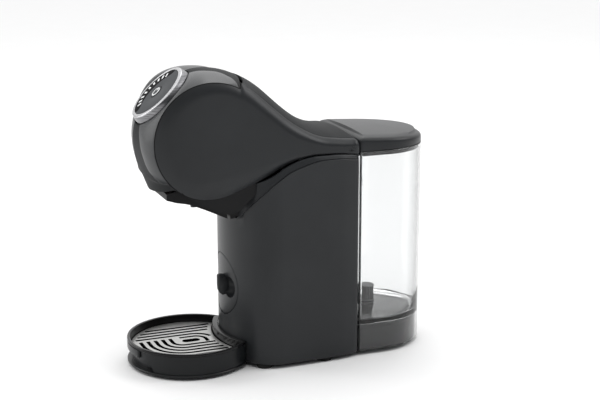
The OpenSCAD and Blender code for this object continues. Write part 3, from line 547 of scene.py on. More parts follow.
def make_visor():
    wall_t, hole_r = 2.4, 32.5
    rows = [(0.0, 0.9), (0.0008, 0.3)]
    rows += [(u, 0.0) for u in spread(0.0035, 0.9975, 120)]
    rows += [(0.9994, 0.3), (1.0, 0.9)]

    def sunk(p, t):
        return p - Vector((0, p.y - DISC_Y, p.z - DISC_Z)).normalized() * t

    def mirrored(points):
        return [Vector((-p.x, p.y, p.z)) for p in points]

    rings = []
    for u, push in rows:
        half = visor_half_section(u)
        edge = half[-1]
        half = [sunk(p, push) for p in half[:-1]]
        half += [sunk(edge - Vector((0.22, 0, 0)), push + 0.02), sunk(edge, push + 0.3)]
        wall = [sunk(Vector((p.x * (1 - 1.7 / VISOR_HALF), p.y, p.z)), wall_t - push) for p in half[:-2]]
        wall += [sunk(edge - Vector((1.5, 0, 0)), 2.0), sunk(edge, 1.9)]
        rings.append(mirrored(half)[:0:-1] + half + wall[::-1] + mirrored(wall)[1:])
    n, h = len(rings[0]), len(half)
    # Painted shade: the side edges and their narrow roundings take black plastic, to darken the seam
    edges = [k * n + i for k in range(len(rings) - 1) for i in (0, n - 1, 2 * h - 3, 2 * h - 2)]
    # Painted shade on the flat band along the middle of the lock handle
    flat = [k * n + i for k in range(len(rings) - 1) for i in range(h - 15, h + 13)]
    o = piece("lock_handle_visor", loft(rings), CHARCOAL_TOP, 24, patches=((BLACK, edges), (CHARCOAL_PAINTED_SHADE, flat)))
    cut(o, 24, rod(Vector(DIAL) - DIAL_AXIS * 40, DIAL_AXIS, hole_r, 80, 128))
    declare(o, "lock_handle", ("handle_visor",))
    # Black flange on the rear edge, which runs under the tail and closes the gap: a dark sheet of painted shade in the
    # gap
    flange_half, flange_t = 45.5, 0.9
    rings = []
    for t in spread(0, 1, 12):
        outer = []
        for x in spread(-flange_half, flange_half, 36):
            w = (abs(x) / VISOR_HALF) ** 2.2
            outer.append((x, mix(REAR_DIR[0], REAR_DIR[1], w) + mix(1.6, -8, t), mix(62.7, 52.9, w) - 2.5))
        rings.append([about_hinge(*p) for p in outer]
                     + [about_hinge(x, a, r - flange_t) for x, a, r in outer[::-1]])
    piece("lock_handle_shade_flange", loft(rings), BLACK, 40, "lock_handle")


def hood_y(x):
    """Front edge of the tail over the lock handle, at x."""
    t = min(abs(x) / VISOR_HALF, 1.0) ** 2.4
    a = math.radians(HOOD_DIR)
    return mix(CROWN_C[0] + CROWN_R * math.cos(a), DISC_Y + SEAM_R * math.cos(a), t)


def tail_top(x, y):
    t = abs(x) / CREASE_HALF
    return lookup(CROWN, y) - lookup(CREASE_DROP, y) * t ** 2


def side_boundary():
    """Outline of the side wall, from the hood's corner round the rear and back along the seam to the disc.

    Each point is (x, y, z, inner y, inner z, kind); the inner point is where the rounded edge meets the flat side.
    """
    out = []
    rear_x, flat_rear = 50.2, 57.4
    # Crease along the tail
    for y in spread(hood_y(CREASE_HALF), TURN_Y, 56):
        z = tail_top(CREASE_HALF, y)
        w = lookup([(-60, 15.5), (-30, 15), (0, 12), (20, 8), (62.5, 6.2)], y)
        out.append((CREASE_HALF, y, z, y, z - w, "crease"))
    # Rounded corner to the rear, then down
    z_end = tail_top(CREASE_HALF, TURN_Y)
    for a in spread(0, 90, 7)[1:]:
        r = math.radians(a)
        y, z = TURN_Y + 5.5 * math.sin(r), z_end - 6.5 * (1 - math.cos(r))
        zi = min(z - 0.5, z_end - 6.2) if a < 90 else z_end - 6.7
        out.append((CREASE_HALF + 4.2 * (a / 90) ** 0.8, y, z, min(y, flat_rear), zi, "rear"))
    low = lookup(SEAM, TAIL_REAR)
    for z in spread(z_end - 6.5, low + 0.5, 5)[1:]:
        out.append((rear_x, TAIL_REAR, z, flat_rear, max(z, low + 2.4), "rear"))
    out.append((rear_x + 0.2, TAIL_REAR - 0.2, low, flat_rear - 0.1, low + 2.3, "rear"))
    # Lower edge towards the head
    for y in spread(TAIL_REAR - 1.2, -52.0, 64)[1:]:
        w = lookup([(-52, 19), (-30, 14), (-5, 6.5), (12, 2.8), (62.5, 2.0)], y)
        h = lookup([(-52, 6.2), (-30, 5.0), (-5, 2.6), (12, 1.2), (62.5, 0.8)], y)
        z = lookup(SEAM, y)
        out.append((HEAD_HALF - h, y, z, min(y, 56.5), z + w, "seam"))
    # Round the disc
    a0 = math.degrees(math.atan2(lookup(SEAM, -52) - DISC_Z, -52 - DISC_Y))
    a1 = math.degrees(math.acos((hood_y(49) - DISC_Y) / FILL_R)) - 360
    for a in spread(a0, a1, 110)[1:]:
        low = min(1.0, max(0.0, (a + 126) / 30)) ** 1.5
        w = mix(14.0, 19.0, low) if a > -230 else mix(14.0, 9.0, min(1, (-230 - a) / 60))
        _, y, z = about_hinge(0, a, RIM_R)
        _, yi, zi = about_hinge(0, a, FILL_R - w)
        out.append((HEAD_HALF - mix(2.9, 6.2, low), y, z, yi, zi, "disc"))
    # Short way up the hood's edge
    last, first = out[-1], out[0]
    for t in spread(0, 1, 6)[1:-1]:
        out.append((mix(last[0], first[0], t ** 0.8), *[mix(last[i], first[i], t) for i in (1, 2, 3, 4)], "hood"))
    return out


def head_half_mesh():
    """Right half of the head: the side, filled towards a line along its middle, then the strip over the top."""
    edge = side_boundary()
    n = len(edge)
    rings = []
    for u in spread(0, 1, 9):
        rings.append([])
        for x, y, z, yi, zi, kind in edge:
            depth = (HEAD_HALF - x) * (1 - u) ** (2.1 if kind in ("crease", "hood", "disc") else 2.4)
            rings[-1].append((HEAD_HALF - depth, mix(y, yi, u), mix(z, zi, u)))
    spine = [(-76, 214), (-54, 214.5), (-30, 211), (0, 204.5), (20, 201.8), (40, 200), (57, 198.7)]
    for scale in (0.975, 0.94, 0.88, 0.8, 0.7, 0.58, 0.45, 0.32, 0.2, 0.1, 0.03):
        rings.append([])
        for yi, zi in [p[3:5] for p in edge]:
            ys = min(max(yi, DISC_Y), 52)
            rings[-1].append((HEAD_HALF, mix(ys, yi, scale), mix(lookup(spine, ys), zi, scale)))
    verts, faces = loft(rings, caps=False)
    faces.append(tuple(len(verts) - n + i for i in range(n)))
    verts = [taper(*p) for p in verts]
    # Top and rear, from the side's edge to the middle
    cols = 16
    y_hood = hood_y(CREASE_HALF)
    z_turn = tail_top(CREASE_HALF, TURN_Y)
    low = lookup(SEAM, TAIL_REAR)
    rows = []
    for i, (xb, yb, zb, _, _, kind) in enumerate(edge):
        if kind not in ("crease", "rear"):
            continue
        row = [i]
        for c in range(1, cols + 1):
            x = max(xb * (1 - c / cols), 0.04)
            if kind == "crease":
                fade = max(0.0, 1 - (yb - y_hood) / 44) ** 2
                y = yb + (hood_y(x) - y_hood) * fade
                z = tail_top(x, y)
            else:
                y = yb
                lift = lookup(CREASE_DROP, TURN_Y) * (1 - (x / xb) ** 2)
                z = zb + lift * max(0.0, (zb - low) / (z_turn - low))
            row.append(len(verts))
            verts.append((x, y, z))
        rows.append(row)
    for a, b in zip(rows, rows[1:]):
        faces += [(a[c], a[c + 1], b[c + 1], b[c]) for c in range(cols)]
    return verts, faces, (len(rows) - 1) * cols


def make_head():
    verts, faces, top = head_half_mesh()
    for name, sign, node in (("head_shell_near", 1, "head_shell_right"), ("head_shell_far", -1, "head_shell_left")):
        part = ([(x * sign, y, z) for x, y, z in verts], [q[::sign] for q in faces])
        # Painted shade on the strip over the top of the tail
        o = piece(name, part, CHARCOAL, 30, patches=((CHARCOAL_PAINTED_SHADE, range(len(faces) - top, len(faces))),))
        modifier(o, "SOLIDIFY", thickness=1.6 * MM, offset=-1.0, use_rim=True)
        smooth(o, 30)
        declare(o, "machine", (node,))


def make_dial():
    turn = Matrix.Rotation(math.atan2(-DIAL_AXIS.y, DIAL_AXIS.z), 4, "X")
    place = Matrix.Translation(Vector(DIAL)) @ turn
    # Ring, with painted shade on its side: the same brushed metal in a darker colour
    prof = [(26.17, -8.3), (31.0, -8.4), (31.35, -8.15), (31.4, -7.8), (31.0, -5.2), (30.35, -2.6), (29.75, -1.0),
            (29.45, -0.45), (29.0, -0.15), (28.3, 0.0), (27.0, 0.2), (26.6, 0.18), (26.3, 0.0), (26.17, -0.4)]
    side = [k * len(prof) + i for k in range(160) for i in range(6)]
    piece("selector_ring", lathe(prof, place, 160), CHROME, 28, "selector", ("control_ring",),
          patches=((RING_SIDE_PAINTED_SHADE, side),))
    # Face with a raised edge and a round opening for the button
    face_r = 25.8
    prof = [(6.5, -3.1), (6.5, -0.35), (6.7, -0.1), (7.0, 0.0), (25.2, 0.0), (25.6, -0.12), (face_r, -0.45),
            (face_r, -3.1)]
    piece("dial_plate", lathe(prof, place, 128), FACE, 28, "lock_handle", ("dial_face",))
    # Black band along the far rim, a crescent
    band_r, band_half = 25.3, 84
    outer, inner = [], []
    for a in spread(-band_half, band_half, 64):
        r = math.radians(180 + a)
        w = 11.2 * max(0.0, math.cos(math.radians(a) * 1.06)) ** 0.4 + 0.2
        outer.append((band_r * math.cos(r), band_r * math.sin(r)))
        inner.append(((band_r - w) * math.cos(r), (band_r - w) * math.sin(r)))
    rings = []
    for z, push in ((0.0, 0.0), (0.14, 0.0), (0.2, 0.12)):
        a = [(x * (1 - push / band_r), y * (1 - push / band_r), z) for x, y in outer]
        b = [(x * (1 + push / 20.0), y * (1 + push / 20.0), z) for x, y in inner]
        rings.append(a + b[::-1])
    piece("dial_band", placed(place, loft(rings)), BAND_BLACK, 30, "lock_handle")
    # Light bars
    first, pitch = 118, 15.5
    bar = cuboid((18.1, -1.05, -0.2), (22.5, 1.05, 0.42), 0.18)
    bars = [placed(place @ Matrix.Rotation(math.radians(first + pitch * i), 4, "Z"), bar) for i in range(9)]
    piece("dial_light_bars", join(*bars), WHITE, 40, "lock_handle", ("light_bars",))
    # Button, slightly domed, with a light ring and bar let in
    prof = [(0.001, -4.6), (7.4, -4.6), (7.4, -3.5), (6.0, -3.4), (6.0, -0.1), (5.9, 0.12), (5.65, 0.26), (4.9, 0.34),
            (2.5, 0.42), (0.001, 0.45)]
    piece("start_button_cap", lathe(prof, place, 72), FACE, 30, "power_key", ("start_button",))
    prof = ((3.5, 0.2), (4.95, 0.2), (4.9, 0.43), (4.7, 0.5), (3.8, 0.54), (3.55, 0.48))
    rings = []
    for a in spread(114, 426, 56):
        r = math.radians(a)
        rings.append([(rho * math.cos(r), rho * math.sin(r), z) for rho, z in prof])
    mark = join(loft(rings), cuboid((-0.6, 1.3, 0.2), (0.6, 4.9, 0.56), 0.15))
    piece("start_button_mark", placed(place, mark), WHITE, 40, "power_key", ("button_mark",))


# -------- column

def make_column():
    outline = column_outline()
    n = len(outline)
    notch_y, notch_z, foot, wall = -43.0, 139.0, 1.0, 4.4

    def top_at(y):
        top = lookup(SEAM, max(y, notch_y)) - 0.5
        return top if y >= notch_y else mix(notch_z, top, max(0.0, (y + 47.5) / 4.5))

    tops = [top_at(y) for _, y in outline]
    grooves = [min(lookup(GROOVE, y), top - 2.0) for (_, y), top in zip(outline, tops)]
    fades = [min(1.0, max(0.0, (y + 47.6) / 5.0)) for _, y in outline]
    rings = []

    def ring(heights, depths):
        """One ring, each point as deep inside the outline as its own depth."""
        insets = {d: inset(outline, d) for d in set(depths)}
        rings.append([(*insets[d][i], z) for i, (z, d) in enumerate(zip(heights, depths))])

    def deep(depth, more=0.0):
        return [round(depth * f + more, 3) for f in fades]

    ring([COL_BOTTOM] * n, [2.5] * n)
    for a in spread(0, 90, 3):
        r = math.radians(a)
        ring([COL_BOTTOM + foot * (1 - math.cos(r))] * n, [foot * (1 - math.sin(r))] * n)
    for t in spread(0, 1, 14)[1:]:
        ring([mix(COL_BOTTOM + foot, g - 0.9, t) for g in grooves], [0.0] * n)
    for rise, depth in ((-0.55, 0.25), (-0.4, 1.5), (0.3, 1.5), (0.45, 0.75)):
        ring([g + rise for g in grooves], deep(depth))
    for t in (0.15, 0.4, 0.7, 1.0):
        ring([mix(g + 0.45, top - 0.4, t) for g, top in zip(grooves, tops)], deep(mix(0.75, 2.1, t)))
    ring([top - 0.1 for top in tops], deep(2.3, 0.2))
    ring(tops, deep(2.6, 0.5))
    ring(tops, [wall] * n)
    ring([COL_BOTTOM] * n, [wall] * n)
    o = piece("column_shell", loft(rings, loop=True), CHARCOAL, 30)
    cut(o, 30, rod((0, -62, TOOL_Z), (0, 1, 0), TOOL_R + 0.62, 22, 128), rod((-62, 48, 16), (1, 0, 0), 5.2, 12, 32))
    declare(o, "machine", ("body_shell",))


def nose_y(x):
    """Front of the column at x."""
    if abs(x) <= NOSE_R * math.sin(math.radians(NOSE_END)):
        return NOSE_CY - math.sqrt(NOSE_R ** 2 - x * x)
    return SIDE_CY - math.sqrt(max(0.0, SIDE_R ** 2 - (abs(x) - SIDE_CX) ** 2))


def make_tool():
    n, rows, back_y = 128, 14, -41.0
    rings = [hoop((TOOL_R - 0.5) * max(0.0002, k / rows), 0.2, n) for k in range(rows + 1)]
    rings += [hoop(TOOL_R - 0.12, 0.34, n), hoop(TOOL_R, 0.75, n)]
    rings = [[(x, nose_y(x) + depth, TOOL_Z + z) for x, z, depth in r] for r in rings]
    rings.append([(x, back_y, z) for x, _, z in rings[-1]])
    rings.append([(x * 0.002, back_y, TOOL_Z + (z - TOOL_Z) * 0.002) for x, _, z in rings[-1]])
    o = piece("rinsing_tool_plug", loft(rings), CHARCOAL, 30)
    # Finger hollow beside the fin
    cx, cy, rx, ry, rz = 15.5, -54.5, 10.2, 11.5, 10.6
    rings = []
    for a in spread(0, math.pi, 16):
        rings.append([(cx + rx * x * math.sin(a), cy + ry * y * math.sin(a), TOOL_Z + rz * math.cos(a))
                      for x, y, _ in hoop(1, 0, 40)])
    cut(o, 30, loft(rings))
    declare(o, "tool", ("rinsing_tool",))
    # Grip fin, a rounded blade with a fine groove along its edge
    side = [(-50.0, 61.5), (-55.6, 61.0), (-58.0, 63.2), (-59.4, 66.2), (-59.8, 70.5), (-59.8, 79.2), (-59.2, 80.6),
            (-57.8, 81.1), (-54.5, 80.6), (-50.0, 79.8)]
    rings = []
    for x, t in ((3.2, 0.9), (3.35, 0.3), (3.8, 0.0), (5.1, 0.0), (5.35, 0.5), (5.65, 0.5), (5.9, 0.0), (7.3, 0.0),
                 (7.8, 0.3), (8.0, 0.9)):
        rings.append([(x, y + (t if y < -51 else 0), z + (t * 0.6 if z < 64 else -t * 0.6 if z > 78 else 0))
                      for y, z in side])
    piece("rinsing_tool_fin", loft(rings), CHARCOAL, 40, "tool")


# -------- platform, tank and lid

def make_platform():
    half, front, rear = PLAT_HIGH[0], PLAT_LOW[1], PLAT_HIGH[1]
    z0, z1 = PLAT_LOW[2], PLAT_HIGH[2]
    levels = [(z0, 1.4), (z0 + 0.3, 0.5), (z0 + 1.0, 0.0), (z1 - 5.4, 0.0), (z1 - 4.6, 0.25), (z1 - 1.6, 2.5),
              (z1 - 0.7, 3.4), (z1 - 0.15, 4.6), (z1, 5.8)]
    rings = [[(x, y, z) for x, y in tank_outline(half - t, front, rear - t, 0.4)] for z, t in levels]
    o = piece("tank_platform_shell", loft(rings), CHARCOAL_LOW, 30)
    cut(o, 30, rod((0, SEAT_Y, z1 - 6), (0, 0, 1), 9.2, 12, 64),
        plate(tank_outline(half - 2.4, front - 4, rear - 2.4, 0.4), [(z0 - 2, 0), (z1 - 6.4, 0)]),
        cuboid((-6.3, 134, 2), (6.3, 147, 24)))
    declare(o, "machine", ("tank_platform",))
    # Latch at the rear
    side = [(7.2, 134.6), (7.2, 139.6), (8.4, 140.1), (20.4, 140.1), (21.4, 140.8), (22.8, 140.9), (23.5, 140.2),
            (23.5, 135.2), (22.9, 134.6)]
    rings = []
    for x, t in ((-6.0, 0.7), (-5.8, 0.2), (-5.3, 0.0), (-4.2, 0.0), (4.2, 0.0), (5.3, 0.0), (5.8, 0.2), (6.0, 0.7)):
        rings.append([(x, y - (t if y > 137 else -t), z + (t if z < 15 else -t)) for z, y in side])
    piece("tank_latch_clip", loft(rings), BLACK, 36, "machine", ("tank_latch",))


def make_tank():
    """One closed skin: up the outside, over the rim, down to the valve's opening, then inside the skirt."""
    half, front, rear = TANK_HIGH[0], TANK_LOW[1], TANK_HIGH[1]
    z0, z1 = TANK_LOW[2], TANK_HIGH[2]
    deck = PLAT_HIGH[2] + 0.3
    outline = tank_outline(half, front, rear, 1.6)
    wall, seat_r, outer_rows = 2.0, 6.3, 10
    inner = tank_outline(half - wall, front + wall, rear - wall, 1.4)
    skirt_in = tank_outline(half - wall, front + 0.3, rear - wall, 0.8)

    def ring(out, z):
        return [(x, y, z) for x, y in out]

    def towards_seat(points, t, z):
        out = []
        for x, y in points:
            a = math.atan2(y - SEAT_Y, x)
            out.append((mix(x, seat_r * math.cos(a), t), mix(y, SEAT_Y + seat_r * math.sin(a), t), z))
        return out

    rings = [ring(inset(outline, 0.4), z0)]
    rings += [ring(outline, z) for z in spread(z0 + 0.4, z1 - 0.5, outer_rows)]
    rings += [ring(inset(outline, 0.5), z1), ring(inset(inner, -0.4), z1)]
    rings += [ring(inner, z) for z in spread(z1 - 0.4, deck + 5.4, 8)]
    rings += [ring(inset(inner, 0.9), deck + 3.4)]
    rings += [towards_seat(inner, t, deck + h) for t, h in ((0.07, 2.8), (0.15, 2.6), (0.55, 2.6), (1, 2.6), (1, 0))]
    rings += [towards_seat(skirt_in, t, deck) for t in (0.5, 0.06)]
    rings += [ring(skirt_in, deck - 0.6), ring(skirt_in, z0)]
    n, m = len(outline), len(rings)
    rim = outer_rows + 1
    corners = [0, 1, 2, 3] + list(range(n - 19, n - 15))
    # Painted shade on the bottom edge, the top of the rim and the front corners
    edges = [k * n + i for k in (0, rim, rim + 1, m - 1) for i in range(n)]
    edges += [k * n + i for k in range(1, rim) for i in corners]
    piece("water_tank_shell", loft(rings, loop=True), CLEAR, 34, "tank", ("water_tank",),
          patches=((CLEAR_EDGE_PAINTED_SHADE, edges),))
    # Filter: ribbed cup on a dark ring
    place = Matrix.Translation((0, SEAT_Y, deck + 5.65))
    prof = [(5.4, 0), (8.0, 0), (8.0, 1.2), (7.8, 1.5), (6.3, 1.5), (6.1, 14.8), (7.3, 15.0), (7.7, 15.3), (7.7, 16.0),
            (7.4, 16.3), (0.001, 16.35), (0.001, 14.2), (5.2, 14.0)]
    rib = cuboid((5.7, -0.45, 1.3), (7.35, 0.45, 15.2), 0.25)
    ribs = [placed(place @ Matrix.Rotation(2 * math.pi * k / 18, 4, "Z"), rib) for k in range(18)]
    piece("tank_filter", join(lathe(prof, place, 64), *ribs), GREY, 36, "tank", ("inlet_filter",))


def make_lid():
    z0 = TANK_HIGH[2] + 0.25
    half, front, rear = LID_HIGH[0], LID_LOW[1], LID_HIGH[1]
    outline = tank_outline(half, front, rear, 2.4)
    mid, long = (front + rear) / 2, (rear - front) / 2
    fall, dome = math.tan(math.radians(3.4)), 2.3

    def top(y):
        return LID_HIGH[2] - 0.05 - (y - front) * fall

    def ring(t, drop, level=None):
        out = [(x * (half - t) / half, mid + (y - mid) * (long - t) / long) for x, y in outline]
        return [(x, y, top(y) - drop if level is None else level) for x, y in out]

    rings = [ring(3.2, 0, z0), ring(0.5, 0, z0), ring(0.0, 0, z0 + 0.5)]
    rings += [ring(t, drop) for t, drop in
              ((0.0, 7.0), (0.25, 5.6), (0.9, 4.5), (2.2, 3.5), (4.0, 2.75), (5.0, 2.45))]
    # Crown over the middle, slightly domed across
    for t in (8.0, 13.0, 19.0, 26.0, 34.0):
        out = [(x * (1 - t / half), (y - mid) * (1 - t / half) + mid) for x, y in outline]
        rings.append([(x, y, top(y) - dome * (x / half) ** 2) for x, y in out])
    rings.append([(x * 0.01, mid + (y - mid) * 0.01, top(mid)) for x, y in outline])
    o = piece("tank_lid_cap", loft(rings), CHARCOAL, 24)
    cut(o, 24, plate(tank_outline(half - 4.4, front + 4.4, rear - 4.4, 1.0), [(z0 - 2, 0), (z0 + 4.2, 0)]))
    # Skirt inside the tank
    low = LID_LOW[2]
    levels = ((z0 + 1.5, 0), (low + 0.5, 0), (low, 0.4), (low, 1.6), (low + 0.4, 2.0), (z0 + 1.5, 2.0))
    rings = [[(x, y, z) for x, y in tank_outline(half - 2.3 - t, front + 2.5 + t, rear - 2.3 - t, 1.2)]
             for z, t in levels]
    skirt = piece("tank_lid_skirt", loft(rings, loop=True), BLACK, 34)
    declare(o, "lid", ("tank_lid",))
    declare(skirt, "lid")


# -------- drip tray

BRIDGE_R = NOSE_R + 0.7


def tray_outline(t=0.0, near=0.0, n=120):
    """Round tray outline with the column's nose cut out of it, counter-clockwise; near moves the nose side."""
    r, rn = TRAY_R - t, BRIDGE_R + near
    d = NOSE_CY - TRAY_Y
    y = (r * r - rn * rn + d * d) / (2 * d)
    x = math.sqrt(r * r - y * y)
    a1 = math.degrees(math.atan2(y, x))
    b = math.degrees(math.asin(x / rn))
    return arc(0, TRAY_Y, r, 180 - a1, 360 + a1, n) + nose_arc(0, NOSE_CY, rn, spread(b, -b, 40)[1:-1])


def front_y(x, r):
    """Front of a circle of radius r about the tray's middle, at x."""
    return TRAY_Y - math.sqrt(r ** 2 - x * x)


def make_tray():
    z0, z1 = TRAY_LOW[2], TRAY_HIGH[2]
    grid_z = GRID_LOW[2]
    levels = [(z0, 1.2, 0.6), (z0 + 0.35, 0.3, 0.1), (z0 + 0.9, 0.0, 0.0), (z0 + 2.1, 0.0, 0.0), (z0 + 2.5, 0.35, 0.1),
              (z0 + 2.7, 1.3, 0.2)]
    levels += [(z, mix(1.3, 0.75, (z - z0 - 3) / (z1 - z0 - 5)), 0.2) for z in spread(z0 + 3.0, z1 - 3.0, 5)]
    levels += [(z1 - 2.6, 0.25, 0.1), (z1 - 2.2, 0.0, 0.0), (z1 - 0.6, 0.0, 0.0), (z1 - 0.15, 0.25, 0.2),
               (z1, 0.8, 0.6), (z1, 2.0, 4.6), (z1 - 0.3, 2.6, 5.2), (grid_z + 2.6, 3.0, 5.4),
               (grid_z - 0.15, 3.0, 5.6), (grid_z - 0.2, 4.4, 8.0), (z0 + 4.2, 4.6, 8.4), (z0 + 2.9, 6.0, 10.0)]
    rings = [[(x, y, z) for x, y in tray_outline(t, near)] for z, t, near in levels]
    o = piece("drip_tray_body", loft(rings), CHARCOAL_LOW, 30)

    # Finger recess at the front: slanted sides, open below the rim, with a wall behind it
    def recess(levels, r_in):
        r_out = TRAY_R + 3
        rings = []
        for z, half in levels:
            rings.append([(x, front_y(x, r_out), z) for x in spread(-half, half, 24)]
                         + [(x, front_y(x, r_in), z) for x in spread(half * 0.93, -half * 0.93, 24)])
        return loft(rings)

    wall = []
    for z in (z0 + 1.2, grid_z - 0.4):
        wall.append([(x, front_y(x, TRAY_R - 2.2), z) for x in spread(-39, 39, 30)]
                    + [(x, front_y(x, TRAY_R - 8.0), z) for x in spread(-39, 39, 30)[::-1]])
    cut(o, 30, loft(wall), operation="UNION")
    cut(o, 30, recess(((z0 + 2.75, 36.0), (15.0, 31.7)), TRAY_R - 5.6))
    cut(o, 30, recess(((14.9, 31.8), (z1 - 3.2, 27.3)), TRAY_R - 2.1))
    declare(o, "tray", ("drip_tray",))
    o.data.materials.append(GLOSS_BLACK)
    for p in o.data.polygons:
        c = p.center / MM
        recessed = c.z < z1 - 3.2 and c.y < TRAY_Y - 40
        inside = math.hypot(c.x, c.y - TRAY_Y) < TRAY_R - 1.6 and c.z > z0 + 2.85 and not recessed
        if c.z > z1 - 2.9 or inside:
            p.material_index = 1
    # Pull tab under the rim
    rings = []
    for x in [-19.5, -19.2, -18.6] + spread(-17, 17, 12) + [18.6, 19.2, 19.5]:
        t = 0.0 if abs(x) < 19 else (0.5 if abs(x) < 19.4 else 1.0)
        yo = front_y(x, TRAY_R)
        rings.append([(x, yo + 0.1 + t, z1 - 3.3), (x, yo + 0.05 + t, 15.6), (x, yo + 0.5 + t, 14.9),
                      (x, yo + 1.3, 14.6), (x, yo + 2.2 - t, 15.0), (x, yo + 2.4 - t, z1 - 3.3)])
    piece("drip_tray_tab", loft(rings), CHARCOAL_LOW, 36, "tray")


def strip(path, half, z0, z1, r):
    """Band of constant width along a path of points, with a rounded upper edge."""
    rings = []
    n = len(path)
    for i, p in enumerate(map(Vector, path)):
        d = (Vector(path[min(i + 1, n - 1)]) - Vector(path[max(i - 1, 0)])).normalized()
        side = Vector((-d.y, d.x))
        rings.append([(*(p + side * w), z) for w, z in
                      ((half, z0), (half, z1 - r), (half - r, z1), (r - half, z1), (-half, z1 - r), (-half, z0))])
    return loft(rings)


def make_grid():
    """Grid plate with its maze of slots, cut from a rounded plate; paths are drawn about the tray's middle."""
    z0, z1 = GRID_LOW[2], GRID_HIGH[2]
    levels = [(z0, 0.2), (z0 + 0.2, 0), (z1 - 0.35, 0), (z1 - 0.1, 0.15), (z1, 0.45)]
    o = piece("drip_grid_plate", plate(tray_outline(3.7, 6.5, 140), levels), GRID_METAL, 30)
    slot_half, first, pitch = 1.8, 10, 7
    edge = TRAY_R - 7.4

    def off_nose(x, y):
        return math.hypot(x, y + TRAY_Y - NOSE_CY) > NOSE_R + 10.6

    def limit(path):
        """Keeps the part of a path that lies on the plate's slotted field."""
        keep = []
        for x, y in path:
            if math.hypot(x, y) < edge and off_nose(x, y):
                keep.append((x, y))
            elif keep:
                break
        return keep

    slots = []
    for k in range(5):
        a = first + pitch * k
        path = [(x, -6 - a) for x in spread(-10.8, 0, 22)][:-1]
        path += arc(0, -6, a, -90, 0, 60)
        path += [(a, y) for y in spread(-6, 40, 90)[1:]]
        slots.append(limit(path))
    slots.append([(-10, y) for y in spread(-7.0, 6.0, 12)] + arc(0, 6, 10, 180, 90, 24)[1:]
                 + [(x, 16) for x in spread(0, 7, 8)[1:]])
    for k in range(1, 5):
        a = -(first + pitch * k)
        straight = [(a, y) for y in spread(-48, 6, 110)]
        while straight and math.hypot(*straight[0]) >= edge:
            straight.pop(0)
        if k == 1:
            straight += arc(0, 6, 17, 180, 92, 30)[1:]
            slots.append([p for p in straight if off_nose(*p)])
        else:
            slots.append(limit(straight + [(a, y) for y in spread(6, 44, 80)[1:]]))
    for path in slots:
        if len(path) > 3:
            cut(o, 38, strip([(x, y + TRAY_Y) for x, y in path], slot_half, z0 - 2, z1 + 2, 0.01))
    hole = [(x, y + TRAY_Y) for x, y in arc(0, -3, 4, 180, 360, 16) + arc(0, 6, 4, 0, 180, 16)]
    cut(o, 38, plate(hole, [(z0 - 2, 0), (z1 + 2, 0)]))
    modifier(o, "BEVEL", width=0.22 * MM, segments=1, limit_method="ANGLE", angle_limit=math.radians(50),
             miter_outer="MITER_ARC", harden_normals=False)
    smooth(o, 34)
    # Painted shade: the walls of the slots take glossy black
    o.data.materials.append(GLOSS_BLACK)
    for p in o.data.polygons:
        c = p.center / MM
        if p.normal.z < 0.3 and c.z < z1 - 0.25 and math.hypot(c.x, c.y - TRAY_Y) < 53.2:
            p.material_index = 1
    declare(o, "grid", ("drip_grid",))


# -------- CAD nodes that stay

KEEP = {
    CHARCOAL: "rear_wall",
    CHARCOAL_LOW: "base_plate",
    # Painted shade: head_screws take black plastic, so the gap under the head stays dark
    BLACK: "cord_gland head_screws brew_housing dial_housing capsule_holder",
    GLOSS_BLACK: "holder_spout",
    RUBBER: "base_feet seat_seal pump_mounts supply_hose tray_pads valve_seal",
    GREY: "inlet_seat inner_frame water_pump tank_valve",
    IVORY: "injector flow_meter inlet_hose pump_hose brew_hose",
    STEEL: "base_screws pivot_pins button_spring",
    ALUMINIUM: "heater_block",
    BOARD: "main_board display_board",
    SILICONE: "injector_seal",
    CLEAR_PART: "tank_hook",
}


def make_brackets():
    """The lock handle's inner arms, drawn in with the head's sides."""
    me = frame["nodes"]["handle_brackets"].data
    gap, more_gap, more_from_y = 1.2, 2.6, -84
    verts = []
    for v in me.vertices:
        x, y, z = (c / MM for c in v.co)
        x, y, z = taper(math.copysign(abs(x) - gap, x), y, z)
        verts.append((math.copysign(abs(x) - more_gap * min(1.0, max(0.0, more_from_y - y) / 20), x), y, z))
    piece("lock_handle_arms", (verts, [tuple(p.vertices) for p in me.polygons]), BLACK, 36, "lock_handle",
          ("handle_brackets",))


def keep_nodes():
    for material, names in KEEP.items():
        for name in names.split():
            o = frame["nodes"][name]
            if not o.material_slots:
                o.data.materials.append(material)
            for s in o.material_slots:
                s.material = material


# -------- studio

def area(name, place, target, power, width, height=None):
    d = bpy.data.lights.new(name, "AREA")
    d.energy = power
    d.shape = "RECTANGLE"
    d.size, d.size_y = width, height or width
    o = bpy.data.objects.new(name, d)
    o.location = place
    o.rotation_euler = (Vector(target) - Vector(place)).to_track_quat("-Z", "Y").to_euler()
    bpy.context.scene.collection.objects.link(o)


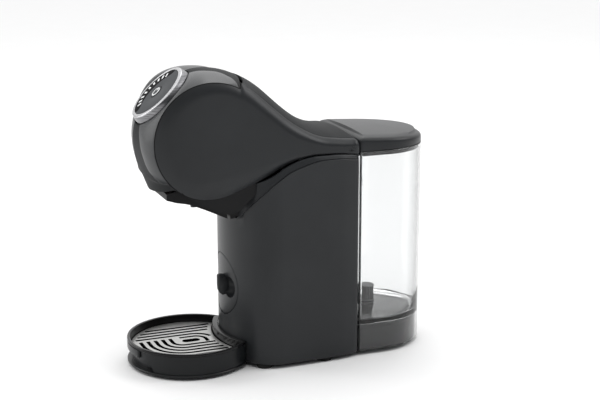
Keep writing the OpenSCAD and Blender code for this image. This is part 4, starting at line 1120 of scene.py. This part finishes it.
def make_camera(place, turn, tilt, lens):
    """Camera turned from the -X direction, and tilted down, by degrees."""
    cam = bpy.data.cameras.new("Camera")
    cam.lens, cam.sensor_width = lens, 36.0
    cam.clip_start, cam.clip_end = 0.05, 20.0
    o = bpy.data.objects.new("Camera", cam)
    turn, tilt = math.radians(turn), math.radians(tilt)
    forward = Vector((-math.cos(turn) * math.cos(tilt), math.sin(turn) * math.cos(tilt), -math.sin(tilt)))
    o.location = place
    o.rotation_euler = forward.to_track_quat("-Z", "Y").to_euler()
    bpy.context.scene.collection.objects.link(o)
    bpy.context.scene.camera = o


def make_studio():
    make_camera((1.1549, -0.4330, 0.4523), 21.61, 14.01, 82.03)
    rings = [hoop(r, 0.0, 64) for r in (0.3, 1.0, 3.0, 9.0)]
    verts, faces = loft(rings, caps=False)
    faces.append(tuple(range(64)))
    floor = piece("floor", (verts, faces), FLOOR, 38, scale=1.0)
    # Sky: grey at the horizon, white overhead and towards -X
    world = bpy.data.worlds.new("Studio")
    bpy.context.scene.world = world
    world.use_nodes = True
    t = world.node_tree
    background = t.nodes["Background"]
    background.inputs["Strength"].default_value = 1.33
    lean = add(t, "ShaderNodeVectorMath", operation="DOT_PRODUCT")
    lean.inputs[1].default_value = (-0.4, 0.1, 0.9)
    t.links.new(add(t, "ShaderNodeTexCoord").outputs["Generated"], lean.inputs[0])
    shade(t, lean.outputs["Value"], background.inputs["Color"], (0.0, (0.12, 0.122, 0.127)), (0.72, (1.0, 1.0, 1.0)))
    bpy.context.scene.view_settings.view_transform = "Standard"
    area("Front soft box", (-0.75, -1.25, 0.62), (0, -0.06, 0.17), 6, 0.5, 1.1)
    area("Rear soft box", (-0.9, 0.55, 1.55), (0, 0, 0.2), 4, 0.9)
    area("Tail soft box", (0.45, 1.25, 1.2), (0, 0, 0.2), 8, 0.8)
    area("Top soft box", (0.1, -0.3, 1.9), (0, 0, 0.1), 2, 1.2)


make_studio()
make_visor()
make_head()
make_dial()
make_column()
make_tool()
make_platform()
make_tank()
make_lid()
make_tray()
make_grid()
make_brackets()
keep_nodes()
